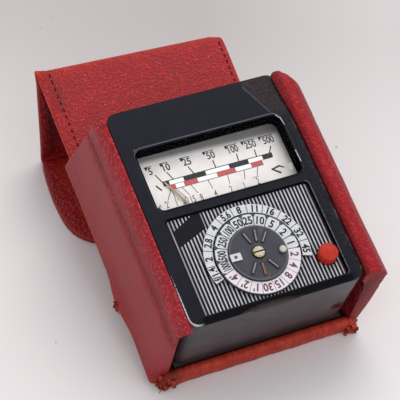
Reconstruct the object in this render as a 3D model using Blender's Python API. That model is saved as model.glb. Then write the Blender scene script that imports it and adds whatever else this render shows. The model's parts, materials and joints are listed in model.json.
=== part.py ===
"""Selenium light meter in its leather case, with the lid unfolded and doubled back under the case.

The meter frame lies in the meter's face: x across, y from the near end to the far end, z out of
the face, with z = 0 at the striped plate. The whole frame is tilted, because the lid props up
the far end. Lengths are in metres, angles in degrees.
"""
import math

import bmesh
import bpy
from mathutils import Vector

mm = 0.001

# Fits between pieces
gap = 0.3 * mm
running_gap = 0.08 * mm
overrun = 1.0 * mm
round_sides = 32
small_sides = 16
notch_sides = 96
corner_steps = 4

# Meter housing
housing_width = 57.0 * mm
housing_length = 73.3 * mm
housing_depth = 29.0 * mm
housing_corner = 3.0 * mm
housing_wall = 2.0 * mm
housing_floor = 2.0 * mm
housing_top = -0.4 * mm
rim_height = 1.0 * mm
cover_plate_depth = 1.8 * mm
notch_width_share = 0.77193
notch_depth = 1.8 * mm
notch_x_share = -0.07018

# Window and scale
window_left_share = -0.85263
window_right_share = 0.88421
window_near_share = 0.51432
window_far_margin = 13.3 * mm
window_corner = 2.7 * mm
well_wall = 1.2 * mm
well_depth = 4.6 * mm
card_border = 1.0 * mm
card_depth = 4.93 * mm
card_thickness = 0.6 * mm
glass_thickness = 0.8 * mm
glass_top = 0.5 * mm

# Striped plate and its recess
recess_left_share = -0.83509
recess_right_share = 0.84561
recess_near = 2.2 * mm
window_bar = 2.8 * mm
recess_corner = 1.5 * mm
stripe_plate_thickness = 0.3 * mm

# Exposure dial: its radius is a share of the mean of the housing's half width and the plate's
# length, and its other radii are shares of that radius
dial_x_share = -0.01754
dial_radius_share = 0.54704
dial_far_margin = 1.9 * mm
time_disc_share = 0.80240
centre_disc_share = 0.53892
rib_inner_share = 0.20958
rib_outer_share = 0.45509
tab_inner_share = 0.34132
tab_outer_share = 0.54491
peg_distance_share = 0.44311
f_ring_start_angle = -19.0
f_ring_end_angle = 200.0
f_ring_thickness = 0.6 * mm
time_disc_thickness = 0.95 * mm
centre_disc_thickness = 0.5 * mm
rib_angles = (108.0, 78.0, 50.0, -59.0, -96.0, -127.0)
rib_width = 0.9 * mm
rib_height = 0.35 * mm
tab_angle = 178.0
tab_width = 2.4 * mm
tab_thickness = 0.3 * mm
peg_angle = -11.0
peg_radius = 1.1 * mm
peg_height = 1.1 * mm
bush_radius = 1.9 * mm
bush_bore = 1.2 * mm
screw_head_radius = 1.8 * mm
screw_head_height = 0.6 * mm
screw_shank_radius = 0.9 * mm
screw_slot_width = 0.5 * mm
screw_slot_depth = 0.35 * mm
screw_crown_share = 0.8
nut_radius = 2.6 * mm
nut_thickness = 0.7 * mm

# Release button and brake
button_x_share = 0.70175
button_radius_share = 0.10526
lever_x_share = 0.50877
button_y = 9.9 * mm
button_height = 3.7 * mm
button_dome = 1.1 * mm
button_foot = 1.4 * mm
stem_radius = 1.0 * mm
stem_foot = 5.3 * mm
guide_wall = 0.8 * mm
guide_floor = 0.6 * mm
guide_depth = 5.0 * mm
spring_wire = 0.25 * mm
spring_turns = 4
lever_z = -5.9 * mm
lever_thickness = 0.6 * mm
lever_width = 3.0 * mm
lever_inner_arm = 7.5 * mm
lever_outer_arm = 7.0 * mm
pin_radius = 0.5 * mm
ear_thickness = 0.8 * mm
ear_width = 2.4 * mm

# Moving coil
pivot_x = 0.0
pivot_y = 16.2 * mm
needle_rest_angle = 117.5
needle_z = -4.45 * mm
needle_thickness = 0.3 * mm
needle_root_width = 1.0 * mm
needle_tip_width = 0.4 * mm
needle_tail = 6.2 * mm
needle_tip_margin = 6.8 * mm
needle_hub_radius = 1.8 * mm
counterweight_radius = 1.0 * mm
counterweight_height = 0.9 * mm
pivot_radius = 0.5 * mm
coil_half_width = 6.4 * mm
coil_wire = 1.2 * mm
coil_depth = 3.0 * mm
coil_top = -6.7 * mm
coil_above_floor = 5.7 * mm
core_radius = 4.6 * mm
core_pin_radius = 0.8 * mm
magnet_half_x_share = 0.59649
magnet_half_y = 10.0 * mm
magnet_above_floor = 6.7 * mm
magnet_top = -8.0 * mm
magnet_bore = 7.4 * mm
magnet_slot = 4.0 * mm
cup_above_floor = 3.1 * mm
bearing_depth = 1.3 * mm
bridge_half_x_share = 0.52632
bridge_half_y = 2.2 * mm
bridge_leg = 2.0 * mm
bridge_top = -3.1 * mm
bridge_thickness = 0.75 * mm
hairspring_turns = 3
hairspring_wire = 0.12 * mm
hairspring_inner = 1.0 * mm
hairspring_outer = 3.2 * mm
upper_hairspring_z = -5.6 * mm
hairspring_above_floor = 4.4 * mm

# Selenium cell at the far end
lens_half_width_share = 0.72632
lens_above_floor = 2.3 * mm
carrier_half_width_share = 0.80702
lens_top = -5.3 * mm
carrier_thickness = 4.4 * mm
carrier_top = -4.9 * mm
pocket_depth = 3.1 * mm
cell_thickness = 0.9 * mm
contact_thickness = 0.8 * mm
contact_border = 2.0 * mm
resistor_radius = 3.0 * mm
resistor_length = 12.0 * mm
resistor_waist = 2.3 * mm
resistor_flange = 1.2 * mm
resistor_x_share = -0.63158
resistor_from_far_end = 28.3 * mm
cell_lead_x_share = 0.47719
return_lead_x_share = 0.18947
lead_radius = 0.5 * mm
lead_steps = 6
cell_lead_bow = 3.0 * mm
return_lead_bow = 1.2 * mm

# Fasteners
pillar_x_share = 0.83158
pillar_radius_share = 0.07018
pillar_from_far_end = 9.1 * mm
end_screw_x_share = 0.85614
end_screw_above_floor = 8.1 * mm
pillar_near = 4.8 * mm
fixing_head_radius = 1.9 * mm
fixing_head_height = 0.9 * mm
fixing_shank_radius = 1.0 * mm
fixing_length = 6.8 * mm
end_screw_head = 1.1 * mm
end_screw_shank = 0.5 * mm
end_screw_sink = 0.7 * mm

# Leather case
leather = 2.2 * mm
board_thickness = 3.2 * mm
bottom_overhang_left = 6.1 * mm
bottom_overhang_right = 5.9 * mm
wall_beyond_housing = 0.6 * mm
floor_beyond_housing = 3.1 * mm
ledge_reach = 4.0 * mm
ledge_height = 4.8 * mm
wall_near = 1.3 * mm
wall_foot_lead = 2.2 * mm
left_bulge = 7.5 * mm
left_lip_top = 1.0 * mm
right_bulge = 8.4 * mm
right_lip_top = 2.4 * mm
tilt = 18.0

# Lid: three panels, each of lining and leather, creased along x
crease_gap = 0.3 * mm
lid_centre = -1.0 * mm
lid_overhang = 3.9 * mm
lid_rise = 0.6 * mm
lid_lining = 0.95 * mm
lid_leather = 0.95 * mm
leg_lean = 4.9
tongue_length = 48.0 * mm
tongue_bulge = 3.3 * mm
tongue_swell = 27.0 * mm
tongue_round = 3.0
tongue_steps = 9

half_width = housing_width / 2
notch_width = notch_width_share * half_width
notch_x = notch_x_share * half_width
window_left = window_left_share * half_width
window_right = window_right_share * half_width
window_near = window_near_share * housing_length
window_far = housing_length - window_far_margin
recess_far = window_near - window_bar
recess_left = recess_left_share * half_width
recess_right = recess_right_share * half_width
dial_x = dial_x_share * half_width
f_ring_radius = dial_radius_share * math.sqrt(half_width * (recess_far - recess_near))
dial_y = recess_far - dial_far_margin - f_ring_radius
time_disc_radius = time_disc_share * f_ring_radius
centre_disc_radius = centre_disc_share * f_ring_radius
rib_inner = rib_inner_share * f_ring_radius
rib_outer = rib_outer_share * f_ring_radius
tab_inner = tab_inner_share * f_ring_radius
tab_outer = tab_outer_share * f_ring_radius
peg_distance = peg_distance_share * f_ring_radius
button_x = button_x_share * half_width
button_radius = button_radius_share * half_width
lever_x = lever_x_share * half_width
needle_length = window_far - needle_tip_margin - pivot_y
magnet_half_x = magnet_half_x_share * half_width
bridge_half_x = bridge_half_x_share * half_width
lens_half_width = lens_half_width_share * half_width
carrier_half_width = carrier_half_width_share * half_width
resistor_x = resistor_x_share * half_width
resistor_y = housing_length - resistor_from_far_end
cell_lead_x = cell_lead_x_share * half_width
return_lead_x = return_lead_x_share * half_width
pillar_x = pillar_x_share * half_width
pillar_radius = pillar_radius_share * half_width
pillar_far = housing_length - pillar_from_far_end
end_screw_x = end_screw_x_share * half_width
cavity_half = half_width - housing_wall
floor_top = housing_floor - housing_depth
coil_bottom = floor_top + coil_above_floor
magnet_bottom = floor_top + magnet_above_floor
base_cup_floor = floor_top + cup_above_floor
lower_hairspring_z = floor_top + hairspring_above_floor
lens_bottom = floor_top + lens_above_floor
end_screw_z = floor_top + end_screw_above_floor
cover_bottom = -cover_plate_depth
plate_top = 0.0
plate_bottom = plate_top - stripe_plate_thickness
recess_floor = plate_bottom - gap
cover_seam = housing_top + gap
meter_wall_x = half_width + gap
case_left = -half_width - bottom_overhang_left
case_right = half_width + bottom_overhang_right
wall_far = housing_length + wall_beyond_housing
floor_far = housing_length + floor_beyond_housing
board_top = -housing_depth - gap
board_bottom = board_top - board_thickness
bottom_leather_top = board_bottom - gap
case_bottom = bottom_leather_top - leather
ledge_top = case_bottom + ledge_height
lid_half_width = half_width + lid_overhang
tongue_half_width = lid_half_width + tongue_bulge
end_panel_length = lid_rise - case_bottom

# Wall outlines seen from the near end, lip first, foot last: how far out, as shares of the wall's
# bulge, and how far down from the lip's top to the foot, as shares of that height
left_wall_shares = (
    (0.0, 0.0), (0.16, 0.02), (0.31, 0.12), (0.38, 0.27), (0.62, 0.57), (0.91, 0.84), (1.0, 1.0),
)
right_wall_shares = (
    (0.0, 0.016), (0.18, 0.0), (0.50, 0.009), (0.79, 0.094), (0.96, 0.194), (1.0, 0.42),
    (0.93, 0.72), (0.76, 0.92), (0.68, 1.0),
)


def material(name, colour, roughness, metallic=0.0):
    made = bpy.data.materials.new(name)
    made.use_nodes = True
    shader = made.node_tree.nodes["Principled BSDF"]
    shader.inputs["Base Color"].default_value = (*colour, 1.0)
    shader.inputs["Roughness"].default_value = roughness
    shader.inputs["Metallic"].default_value = metallic
    made.diffuse_color = (*colour, 1.0)
    return made


def empty(name, parent, place, turn=(0.0, 0.0, 0.0)):
    """An axis that pieces hang on: turn is in degrees about x, y and z."""
    made = bpy.data.objects.new(name, None)
    bpy.context.scene.collection.objects.link(made)
    made.parent = parent
    made.location = place
    made.rotation_euler = [math.radians(angle) for angle in turn]
    return made


def finish(name, bm, parent, finish_material=None, smooth=True):
    """Turns a bmesh into an object. With no material it is a cutter or an addition."""
    bmesh.ops.recalc_face_normals(bm, faces=bm.faces)
    mesh = bpy.data.meshes.new(name)
    bm.to_mesh(mesh)
    bm.free()
    if smooth:
        mesh.shade_smooth()
        mesh.set_sharp_from_angle(angle=math.radians(35.0))
    made = bpy.data.objects.new(name, mesh)
    bpy.context.scene.collection.objects.link(made)
    made.parent = parent
    if finish_material is None:
        made.hide_render = True
        made.display_type = "WIRE"
    else:
        mesh.materials.append(finish_material)
    return made


PLACERS = {
    "X": lambda a, b, h: (h, a, b),
    "Y": lambda a, b, h: (a, h, b),
    "Z": lambda a, b, h: (a, b, h),
}


def prism(name, outline, low, high, parent, finish_material=None, along="Z", high_outline=None):
    """An outline carried from low to high along an axis; the far outline may differ."""
    place = PLACERS[along]
    bm = bmesh.new()
    first = [bm.verts.new(place(a, b, low)) for a, b in outline]
    last = [bm.verts.new(place(a, b, high)) for a, b in high_outline or outline]
    bm.faces.new(first)
    bm.faces.new(last)
    for i in range(len(first)):
        j = (i + 1) % len(first)
        bm.faces.new((first[i], first[j], last[j], last[i]))
    return finish(name, bm, parent, finish_material)


def turned(name, profile, parent, finish_material=None, sides=round_sides, place=(0.0, 0.0)):
    """A profile of (radius, z) points turned about z. It starts and ends on the axis, or is a ring."""
    bm = bmesh.new()
    points = [bm.verts.new((r, 0.0, z)) for r, z in profile]
    count = len(points)
    closed = profile[0][0] > 0.0
    edges = [bm.edges.new((points[i], points[i + 1])) for i in range(count - 1)]
    if closed:
        edges.append(bm.edges.new((points[-1], points[0])))
    bmesh.ops.spin(
        bm, geom=points + edges, axis=(0.0, 0.0, 1.0), cent=(0.0, 0.0, 0.0),
        angle=2.0 * math.pi, steps=sides, use_merge=True,
    )
    bmesh.ops.remove_doubles(bm, verts=bm.verts, dist=0.0001 * mm)
    bmesh.ops.translate(bm, verts=bm.verts, vec=(place[0], place[1], 0.0))
    return finish(name, bm, parent, finish_material)


def disc_profile(radius, low, high):
    return ((0.0, low), (radius, low), (radius, high), (0.0, high))


def ring_profile(inner, outer, low, high):
    return ((inner, low), (outer, low), (outer, high), (inner, high))


def box_outline(left, right, near, far):
    return ((left, near), (right, near), (right, far), (left, far))


def rounded_outline(left, right, near, far, radius):
    corners = (
        (right - radius, near + radius, -90.0),
        (right - radius, far - radius, 0.0),
        (left + radius, far - radius, 90.0),
        (left + radius, near + radius, 180.0),
    )
    points = []
    for x, y, start in corners:
        for i in range(corner_steps + 1):
            angle = math.radians(start + 90.0 * i / corner_steps)
            points.append((x + radius * math.cos(angle), y + radius * math.sin(angle)))
    return points


def polar(radius, angle, centre=(0.0, 0.0)):
    turn = math.radians(angle)
    return centre[0] + radius * math.cos(turn), centre[1] + radius * math.sin(turn)


def radial_bar(angle, inner, outer, width):
    """Outline of a bar that points away from the axis."""
    corners = ((inner, -width / 2), (outer, -width / 2), (outer, width / 2), (inner, width / 2))
    cos, sin = math.cos(math.radians(angle)), math.sin(math.radians(angle))
    return [(a * cos - b * sin, a * sin + b * cos) for a, b in corners]


def combine(target, other, operation):
    modifier = target.modifiers.new(operation.lower(), "BOOLEAN")
    modifier.operation = operation
    modifier.object = other
    modifier.solver = "EXACT"
    return target


def cut(target, cutter):
    return combine(target, cutter, "DIFFERENCE")


def add(target, addition):
    return combine(target, addition, "UNION")


def tube(name, points, radius, parent, finish_material, resolution=1):
    """A round wire along the points, with closed ends."""
    curve = bpy.data.curves.new(name, "CURVE")
    curve.dimensions = "3D"
    curve.bevel_depth = radius
    curve.bevel_resolution = resolution
    curve.use_fill_caps = True
    spline = curve.splines.new("POLY")
    spline.points.add(len(points) - 1)
    for point, place in zip(spline.points, points):
        point.co = (*place, 1.0)
    curve.materials.append(finish_material)
    made = bpy.data.objects.new(name, curve)
    bpy.context.scene.collection.objects.link(made)
    made.parent = parent
    return made


def helix(radius_start, radius_end, low, high, turns, points_per_turn=10):
    count = turns * points_per_turn
    points = []
    for i in range(count + 1):
        share = i / count
        radius = radius_start + (radius_end - radius_start) * share
        angle = 2.0 * math.pi * turns * share
        points.append((radius * math.cos(angle), radius * math.sin(angle), low + (high - low) * share))
    return points


def offset_path(points, distance):
    """The path moved sideways by a distance, to the left of its direction; its ends move along z and x."""
    path = [Vector(point) for point in points]
    moved = []
    for i, point in enumerate(path):
        before = (point - path[max(i - 1, 0)]).normalized()
        after = (path[min(i + 1, len(path) - 1)] - point).normalized()
        along = (before + after).normalized()
        side = Vector((-along.y, along.x))
        bend = max(side.dot(Vector((-after.y, after.x))) if i + 1 < len(path) else 1.0, 0.7)
        moved.append(point + side * distance / bend)
    return moved


def build_housing(frame, looks):
    outline = rounded_outline(-half_width, half_width, 0.0, housing_length, housing_corner)
    inner_corner = housing_corner - housing_wall / 2
    inside = rounded_outline(
        -cavity_half, cavity_half, housing_wall, housing_length - housing_wall, inner_corner
    )
    housing = prism("rear_housing", outline, -housing_depth, housing_top, frame, looks["bakelite"])
    cut(housing, prism("housing_cavity", inside, floor_top, housing_top + overrun, frame))
    lens_hole = box_outline(
        -lens_half_width - gap, lens_half_width + gap, lens_bottom - gap, lens_top + gap
    )
    wall_start = housing_length - housing_wall - overrun
    cut(housing, prism("lens_hole", lens_hole, wall_start, housing_length + overrun, frame, along="Y"))
    for name, x, y in fixing_places():
        head_top = -housing_depth + fixing_head_height + 2 * gap
        profile = (
            (0.0, -housing_depth - overrun),
            (fixing_head_radius + gap, -housing_depth - overrun),
            (fixing_head_radius + gap, head_top),
            (fixing_shank_radius + gap, head_top),
            (fixing_shank_radius + gap, floor_top + overrun),
            (0.0, floor_top + overrun),
        )
        cut(housing, turned(f"{name}_hole", profile, frame, sides=small_sides, place=(x, y)))
    hole_axis = empty("end_screw_axis", frame, (end_screw_x, 0.0, end_screw_z), (-90.0, 0.0, 0.0))
    end_hole = (
        (0.0, -overrun),
        (end_screw_head + gap, -overrun),
        (end_screw_head + gap, end_screw_sink + gap),
        (end_screw_shank + gap, end_screw_sink + gap),
        (end_screw_shank + gap, housing_wall + overrun),
        (0.0, housing_wall + overrun),
    )
    cut(housing, turned("end_screw_hole", end_hole, hole_axis, sides=small_sides))
    end_screw = (
        (0.0, gap),
        (end_screw_head, gap),
        (end_screw_head, end_screw_sink),
        (end_screw_shank, end_screw_sink),
        (end_screw_shank, housing_wall),
        (0.0, housing_wall),
    )
    turned("near_end_screw", end_screw, hole_axis, looks["copper"], sides=small_sides)

    cover = prism("front_cover", outline, cover_seam, rim_height, frame, looks["bakelite"])
    spigot_half = cavity_half - gap
    spigot = rounded_outline(
        -spigot_half, spigot_half, housing_wall + gap, housing_length - housing_wall - gap, inner_corner
    )
    add(cover, prism("cover_spigot", spigot, cover_bottom, cover_seam + gap, frame))
    well = rounded_outline(
        window_left - well_wall, window_right + well_wall,
        window_near - well_wall, window_far + well_wall, window_corner + well_wall,
    )
    add(cover, prism("well_outside", well, -well_depth, plate_bottom, frame))
    window = rounded_outline(window_left, window_right, window_near, window_far, window_corner)
    cut(cover, prism("window_hole", window, -well_depth - overrun, rim_height + overrun, frame))
    needle_room = needle_z + needle_thickness + gap
    slot = box_outline(
        window_left - well_wall - overrun, window_right + well_wall + overrun,
        window_near - well_wall - overrun, window_near + window_corner,
    )
    cut(cover, prism("needle_slot", slot, -well_depth - overrun, needle_room, frame))
    recess = rounded_outline(recess_left, recess_right, recess_near, recess_far, recess_corner)
    cut(cover, prism("plate_recess", recess, recess_floor, rim_height + overrun, frame))
    through = (cover_bottom - overrun, rim_height + overrun)
    spindle = disc_profile(bush_radius + gap, *through)
    cut(cover, turned("spindle_hole", spindle, frame, sides=small_sides, place=(dial_x, dial_y)))
    button_hole = disc_profile(button_radius + gap, *through)
    cut(cover, turned("button_hole", button_hole, frame, place=(button_x, button_y)))
    notch_radius = (notch_width**2 / 4 + notch_depth**2) / (2 * notch_depth)
    notch = disc_profile(notch_radius, recess_floor, rim_height + overrun)
    notch_y = notch_depth - notch_radius
    cut(cover, turned("edge_notch", notch, frame, sides=notch_sides,
                      place=(notch_x, notch_y)))

    pane = rounded_outline(
        window_left + gap, window_right - gap, window_near + gap, window_far - gap, window_corner - gap,
    )
    prism("window_glass", pane, glass_top - glass_thickness, glass_top, frame, looks["glass"])
    card = rounded_outline(
        window_left - card_border, window_right + card_border,
        window_near - card_border, window_far + card_border, window_corner,
    )
    prism("scale_card", card, -card_depth - card_thickness, -card_depth, frame, looks["card"])
    plate = rounded_outline(
        recess_left + gap, recess_right - gap, recess_near + gap, recess_far - gap, recess_corner - gap
    )
    stripes = prism("stripe_plate", plate, plate_bottom, plate_top, frame, looks["stripes"])
    plate_span = (plate_bottom - overrun, plate_top + overrun)
    spindle_clear = disc_profile(bush_radius + gap, *plate_span)
    cut(stripes, turned("plate_spindle_hole", spindle_clear, frame, sides=small_sides,
                        place=(dial_x, dial_y)))
    button_clear = disc_profile(button_radius + gap, *plate_span)
    cut(stripes, turned("plate_button_hole", button_clear, frame, place=(button_x, button_y)))


def fixing_places():
    places = []
    for side, x in (("left", -pillar_x), ("right", pillar_x)):
        for end, y in (("near", pillar_near), ("far", pillar_far)):
            places.append((f"{side}_{end}", x, y))
    return places


def build_fasteners(frame, looks):
    head_low = -housing_depth + gap
    head_high = head_low + fixing_head_height
    shank_top = head_low + fixing_length
    pillar_low = floor_top + gap
    pillar_high = cover_bottom - gap
    for name, x, y in fixing_places():
        pillar = turned(
            f"{name}_pillar", disc_profile(pillar_radius, pillar_low, pillar_high),
            frame, looks["brass"], sides=small_sides, place=(x, y),
        )
        bore = disc_profile(fixing_shank_radius + gap, pillar_low - overrun, shank_top + gap)
        cut(pillar, turned(f"{name}_bore", bore, frame, sides=small_sides, place=(x, y)))
        screw = (
            (0.0, head_low),
            (fixing_head_radius, head_low),
            (fixing_head_radius, head_high),
            (fixing_shank_radius, head_high),
            (fixing_shank_radius, shank_top),
            (0.0, shank_top),
        )
        turned(f"{name}_screw", screw, frame, looks["steel"], sides=small_sides, place=(x, y))


def build_dial(frame, looks):
    still = empty("dial_place", frame, (dial_x, dial_y, 0.0))
    time_axis = empty("time_disc_axis", frame, (dial_x, dial_y, 0.0))
    film_axis = empty("centre_disc_axis", time_axis, (0.0, 0.0, 0.0))
    ring_low = plate_top + gap
    arc_steps = 2 * small_sides
    sweep = f_ring_end_angle - f_ring_start_angle
    angles = [f_ring_start_angle + sweep * i / arc_steps for i in range(arc_steps + 1)]
    ring_inner = time_disc_radius + gap
    arc = [polar(f_ring_radius, angle) for angle in angles]
    arc += [polar(ring_inner, angle) for angle in reversed(angles)]
    prism("f_number_ring", arc, ring_low, ring_low + f_ring_thickness, still, looks["ring"])
    disc_top = ring_low + time_disc_thickness
    bore = bush_radius + gap
    turned("time_disc", ring_profile(bore, time_disc_radius, ring_low, disc_top), time_axis, looks["ring"])
    centre_low = disc_top + gap
    centre_top = centre_low + centre_disc_thickness
    centre = turned(
        "centre_disc", ring_profile(bore, centre_disc_radius, centre_low, centre_top),
        film_axis, looks["bakelite"],
    )
    rib_low = centre_low + centre_disc_thickness / 2
    for i, angle in enumerate(rib_angles):
        outline = radial_bar(angle, rib_inner, rib_outer, rib_width)
        add(centre, prism(f"rib_{i}", outline, rib_low, centre_top + rib_height, film_axis))
    seat = centre_top + gap
    tab = radial_bar(tab_angle, tab_inner, tab_outer, tab_width)
    prism("index_tab", tab, seat, seat + tab_thickness, film_axis, looks["card"])
    peg = turned(
        "finger_peg", disc_profile(peg_radius, seat, seat + peg_height),
        film_axis, looks["steel"], sides=small_sides, place=polar(peg_distance, peg_angle),
    )
    bevel = peg.modifiers.new("edge", "BEVEL")
    bevel.width = peg_radius / 3
    bevel.segments = 2
    bush_low = cover_bottom
    turned("dial_bush", ring_profile(bush_bore, bush_radius, bush_low, centre_top), still, looks["brass"],
           sides=small_sides)
    head_top = seat + screw_head_height
    nut_high = bush_low - gap
    nut_low = nut_high - nut_thickness
    screw = (
        (0.0, nut_low),
        (screw_shank_radius, nut_low),
        (screw_shank_radius, seat),
        (screw_head_radius, seat),
        (screw_head_radius, head_top - screw_head_height / 2),
        (screw_head_radius * screw_crown_share, head_top),
        (0.0, head_top),
    )
    head = turned("dial_screw", screw, still, looks["brass"], sides=2 * small_sides)
    slot_reach = screw_head_radius + overrun
    slot = box_outline(-slot_reach, slot_reach, -screw_slot_width / 2, screw_slot_width / 2)
    cut(head, prism("screw_slot", slot, head_top - screw_slot_depth, head_top + overrun, still))
    nut_bore = screw_shank_radius + gap
    nut_outline = [polar(nut_radius, 60.0 * i) for i in range(6)]
    nut = prism("dial_nut", nut_outline, nut_low, nut_high, still, looks["brass"])
    cut(nut, turned("nut_bore", disc_profile(nut_bore, nut_low - overrun, nut_high + overrun), still,
                    sides=small_sides))


def build_button(frame, looks):
    still = empty("button_place", frame, (button_x, button_y, 0.0))
    moving = empty("button_axis", frame, (button_x, button_y, 0.0))
    shoulder = button_height - button_dome
    dome = [
        (button_radius * math.cos(math.radians(a)), shoulder + button_dome * math.sin(math.radians(a)))
        for a in range(0, 90, 15)
    ]
    profile = [
        (0.0, -stem_foot),
        (stem_radius, -stem_foot),
        (stem_radius, -button_foot),
        (button_radius, -button_foot),
        *dome,
        (0.0, button_height),
    ]
    turned("release_button", profile, moving, looks["button"])
    guide_top = cover_bottom - gap
    guide_inner = button_radius + gap
    profile = (
        (stem_radius + gap, -guide_depth),
        (guide_inner + guide_wall, -guide_depth),
        (guide_inner + guide_wall, guide_top),
        (guide_inner, guide_top),
        (guide_inner, -guide_depth + guide_floor),
        (stem_radius + gap, -guide_depth + guide_floor),
    )
    turned("button_guide", profile, still, looks["brass"], sides=2 * small_sides)
    spring_low = -guide_depth + guide_floor + gap + spring_wire
    spring_high = -button_foot - gap - spring_wire
    spring_radius = (stem_radius + guide_inner) / 2
    coils = helix(spring_radius, spring_radius, spring_low, spring_high, spring_turns)
    tube("button_spring", coils, spring_wire, still, looks["steel"])

    pivot = empty("lever_axis", frame, (lever_x, button_y, lever_z))
    pin_place = empty("lever_pin_place", frame, (lever_x, button_y, lever_z))
    half = lever_thickness / 2
    outline = box_outline(-lever_inner_arm, lever_outer_arm, -half, half)
    lever = prism("brake_lever", outline, -lever_width / 2, lever_width / 2, pivot, looks["brass"],
                  along="Y")
    boss_radius = pin_radius + running_gap + half
    boss = [polar(boss_radius, 360.0 * i / small_sides) for i in range(small_sides)]
    add(lever, prism("lever_boss", boss, -lever_width / 2, lever_width / 2, pivot, along="Y"))
    bore_reach = lever_width / 2 + ear_thickness + overrun
    bore = [polar(pin_radius + running_gap, 360.0 * i / small_sides) for i in range(small_sides)]
    cut(lever, prism("lever_bore", bore, -bore_reach, bore_reach, pivot, along="Y"))
    ear_inner = lever_width / 2 + gap
    ear_outer = ear_inner + ear_thickness
    bracket_low = magnet_top + gap - lever_z
    ear_top = boss_radius
    block = box_outline(-ear_outer, ear_outer, bracket_low, ear_top)
    bracket = prism("lever_bracket", block, -ear_width / 2, ear_width / 2, pin_place, looks["brass"],
                    along="X")
    web_top = bracket_low + ear_thickness
    room = box_outline(-ear_inner, ear_inner, web_top, ear_top + overrun)
    cut(bracket, prism("bracket_room", room, -ear_width / 2 - overrun, ear_width / 2 + overrun, pin_place,
                       along="X"))
    cut(bracket, prism("bracket_bore", bore, -bore_reach, bore_reach, pin_place, along="Y"))
    pin = [polar(pin_radius, 360.0 * i / small_sides) for i in range(small_sides)]
    prism("lever_pin", pin, -ear_outer, ear_outer, pin_place, looks["steel"], along="Y")


def build_movement(frame, looks):
    still = empty("movement_place", frame, (pivot_x, pivot_y, 0.0))
    moving = empty("needle_axis", frame, (pivot_x, pivot_y, 0.0), (0.0, 0.0, needle_rest_angle))
    block = box_outline(-magnet_half_x, magnet_half_x, -magnet_half_y, magnet_half_y)
    magnet = prism("magnet", block, magnet_bottom, magnet_top, still, looks["steel"])
    bore = disc_profile(magnet_bore, magnet_bottom - overrun, magnet_top + overrun)
    cut(magnet, turned("magnet_bore", bore, still))
    slot = box_outline(-magnet_slot / 2, magnet_slot / 2, 0.0, magnet_half_y + overrun)
    cut(magnet, prism("magnet_slot", slot, magnet_bottom - overrun, magnet_top + overrun, still))

    base_top = magnet_bottom - gap
    base = prism("movement_base", block, floor_top + gap, base_top, still, looks["brass"])
    cup = (
        (0.0, base_cup_floor - bearing_depth),
        (pivot_radius + running_gap, base_cup_floor - bearing_depth),
        (pivot_radius + running_gap, base_cup_floor),
        (magnet_bore, base_cup_floor),
        (magnet_bore, base_top + overrun),
        (0.0, base_top + overrun),
    )
    cut(base, turned("base_cup", cup, still))

    bridge_bottom = bridge_top - bridge_thickness
    arch = (
        (-bridge_half_x, magnet_top + gap),
        (-bridge_half_x + bridge_leg, magnet_top + gap),
        (-bridge_half_x + bridge_leg, bridge_bottom),
        (bridge_half_x - bridge_leg, bridge_bottom),
        (bridge_half_x - bridge_leg, magnet_top + gap),
        (bridge_half_x, magnet_top + gap),
        (bridge_half_x, bridge_top),
        (-bridge_half_x, bridge_top),
    )
    bridge = prism("upper_bridge", arch, -bridge_half_y, bridge_half_y, still, looks["brass"],
                   along="Y")
    jewel = disc_profile(pivot_radius + running_gap, bridge_bottom - overrun, bridge_top + overrun)
    cut(bridge, turned("jewel_hole", jewel, still, sides=small_sides))

    core_high = coil_top - coil_wire - gap
    core_low = coil_bottom + coil_wire + gap
    turned("core", disc_profile(core_radius, core_low, core_high), still, looks["steel"])
    pin_height = (core_high + core_low) / 2
    pin_axis = empty("core_pin_place", still, (0.0, 0.0, pin_height), (90.0, 0.0, 0.0))
    pin = disc_profile(core_pin_radius, core_radius + gap, magnet_bore - gap)
    turned("core_pin", pin, pin_axis, looks["brass"], sides=small_sides)

    coil_outside = box_outline(-coil_half_width, coil_half_width, coil_bottom, coil_top)
    inner = coil_half_width - coil_wire
    coil_inside = box_outline(-inner, inner, coil_bottom + coil_wire, coil_top - coil_wire)
    coil = prism("moving_coil", coil_outside, -coil_depth / 2, coil_depth / 2, moving, looks["copper"],
                 along="X")
    reach = coil_depth / 2 + overrun
    cut(coil, prism("coil_room", coil_inside, -reach, reach, moving, along="X"))

    upper_low = coil_top + gap
    turned("upper_pivot", disc_profile(pivot_radius, upper_low, bridge_top - gap), moving, looks["steel"],
           sides=small_sides)
    lower_low = base_cup_floor - bearing_depth + gap
    turned("lower_pivot", disc_profile(pivot_radius, lower_low, coil_bottom - gap), moving, looks["steel"],
           sides=small_sides)

    needle_top = needle_z + needle_thickness
    blade = (
        (-needle_tail, -needle_root_width / 2),
        (0.0, -needle_root_width / 2),
        (needle_length, -needle_tip_width / 2),
        (needle_length, needle_tip_width / 2),
        (0.0, needle_root_width / 2),
        (-needle_tail, needle_root_width / 2),
    )
    needle = prism("needle", blade, needle_z, needle_top, moving, looks["brass"])
    add(needle, turned("needle_hub", disc_profile(needle_hub_radius, needle_z, needle_top), moving,
                       sides=small_sides))
    hub_bore = disc_profile(pivot_radius + gap, needle_z - overrun, needle_top + overrun)
    cut(needle, turned("hub_bore", hub_bore, moving, sides=small_sides))
    weight_top = needle_z - gap
    weight_place = (counterweight_radius - needle_tail, 0.0)
    weight = disc_profile(counterweight_radius, weight_top - counterweight_height, weight_top)
    turned("counterweight", weight, moving, looks["brass"], sides=small_sides, place=weight_place)
    springs = (("upper_hairspring", upper_hairspring_z), ("lower_hairspring", lower_hairspring_z))
    for name, height in springs:
        spiral = helix(hairspring_inner, hairspring_outer, height, height, hairspring_turns)
        tube(name, spiral, hairspring_wire, moving, looks["brass"], resolution=0)


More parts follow.
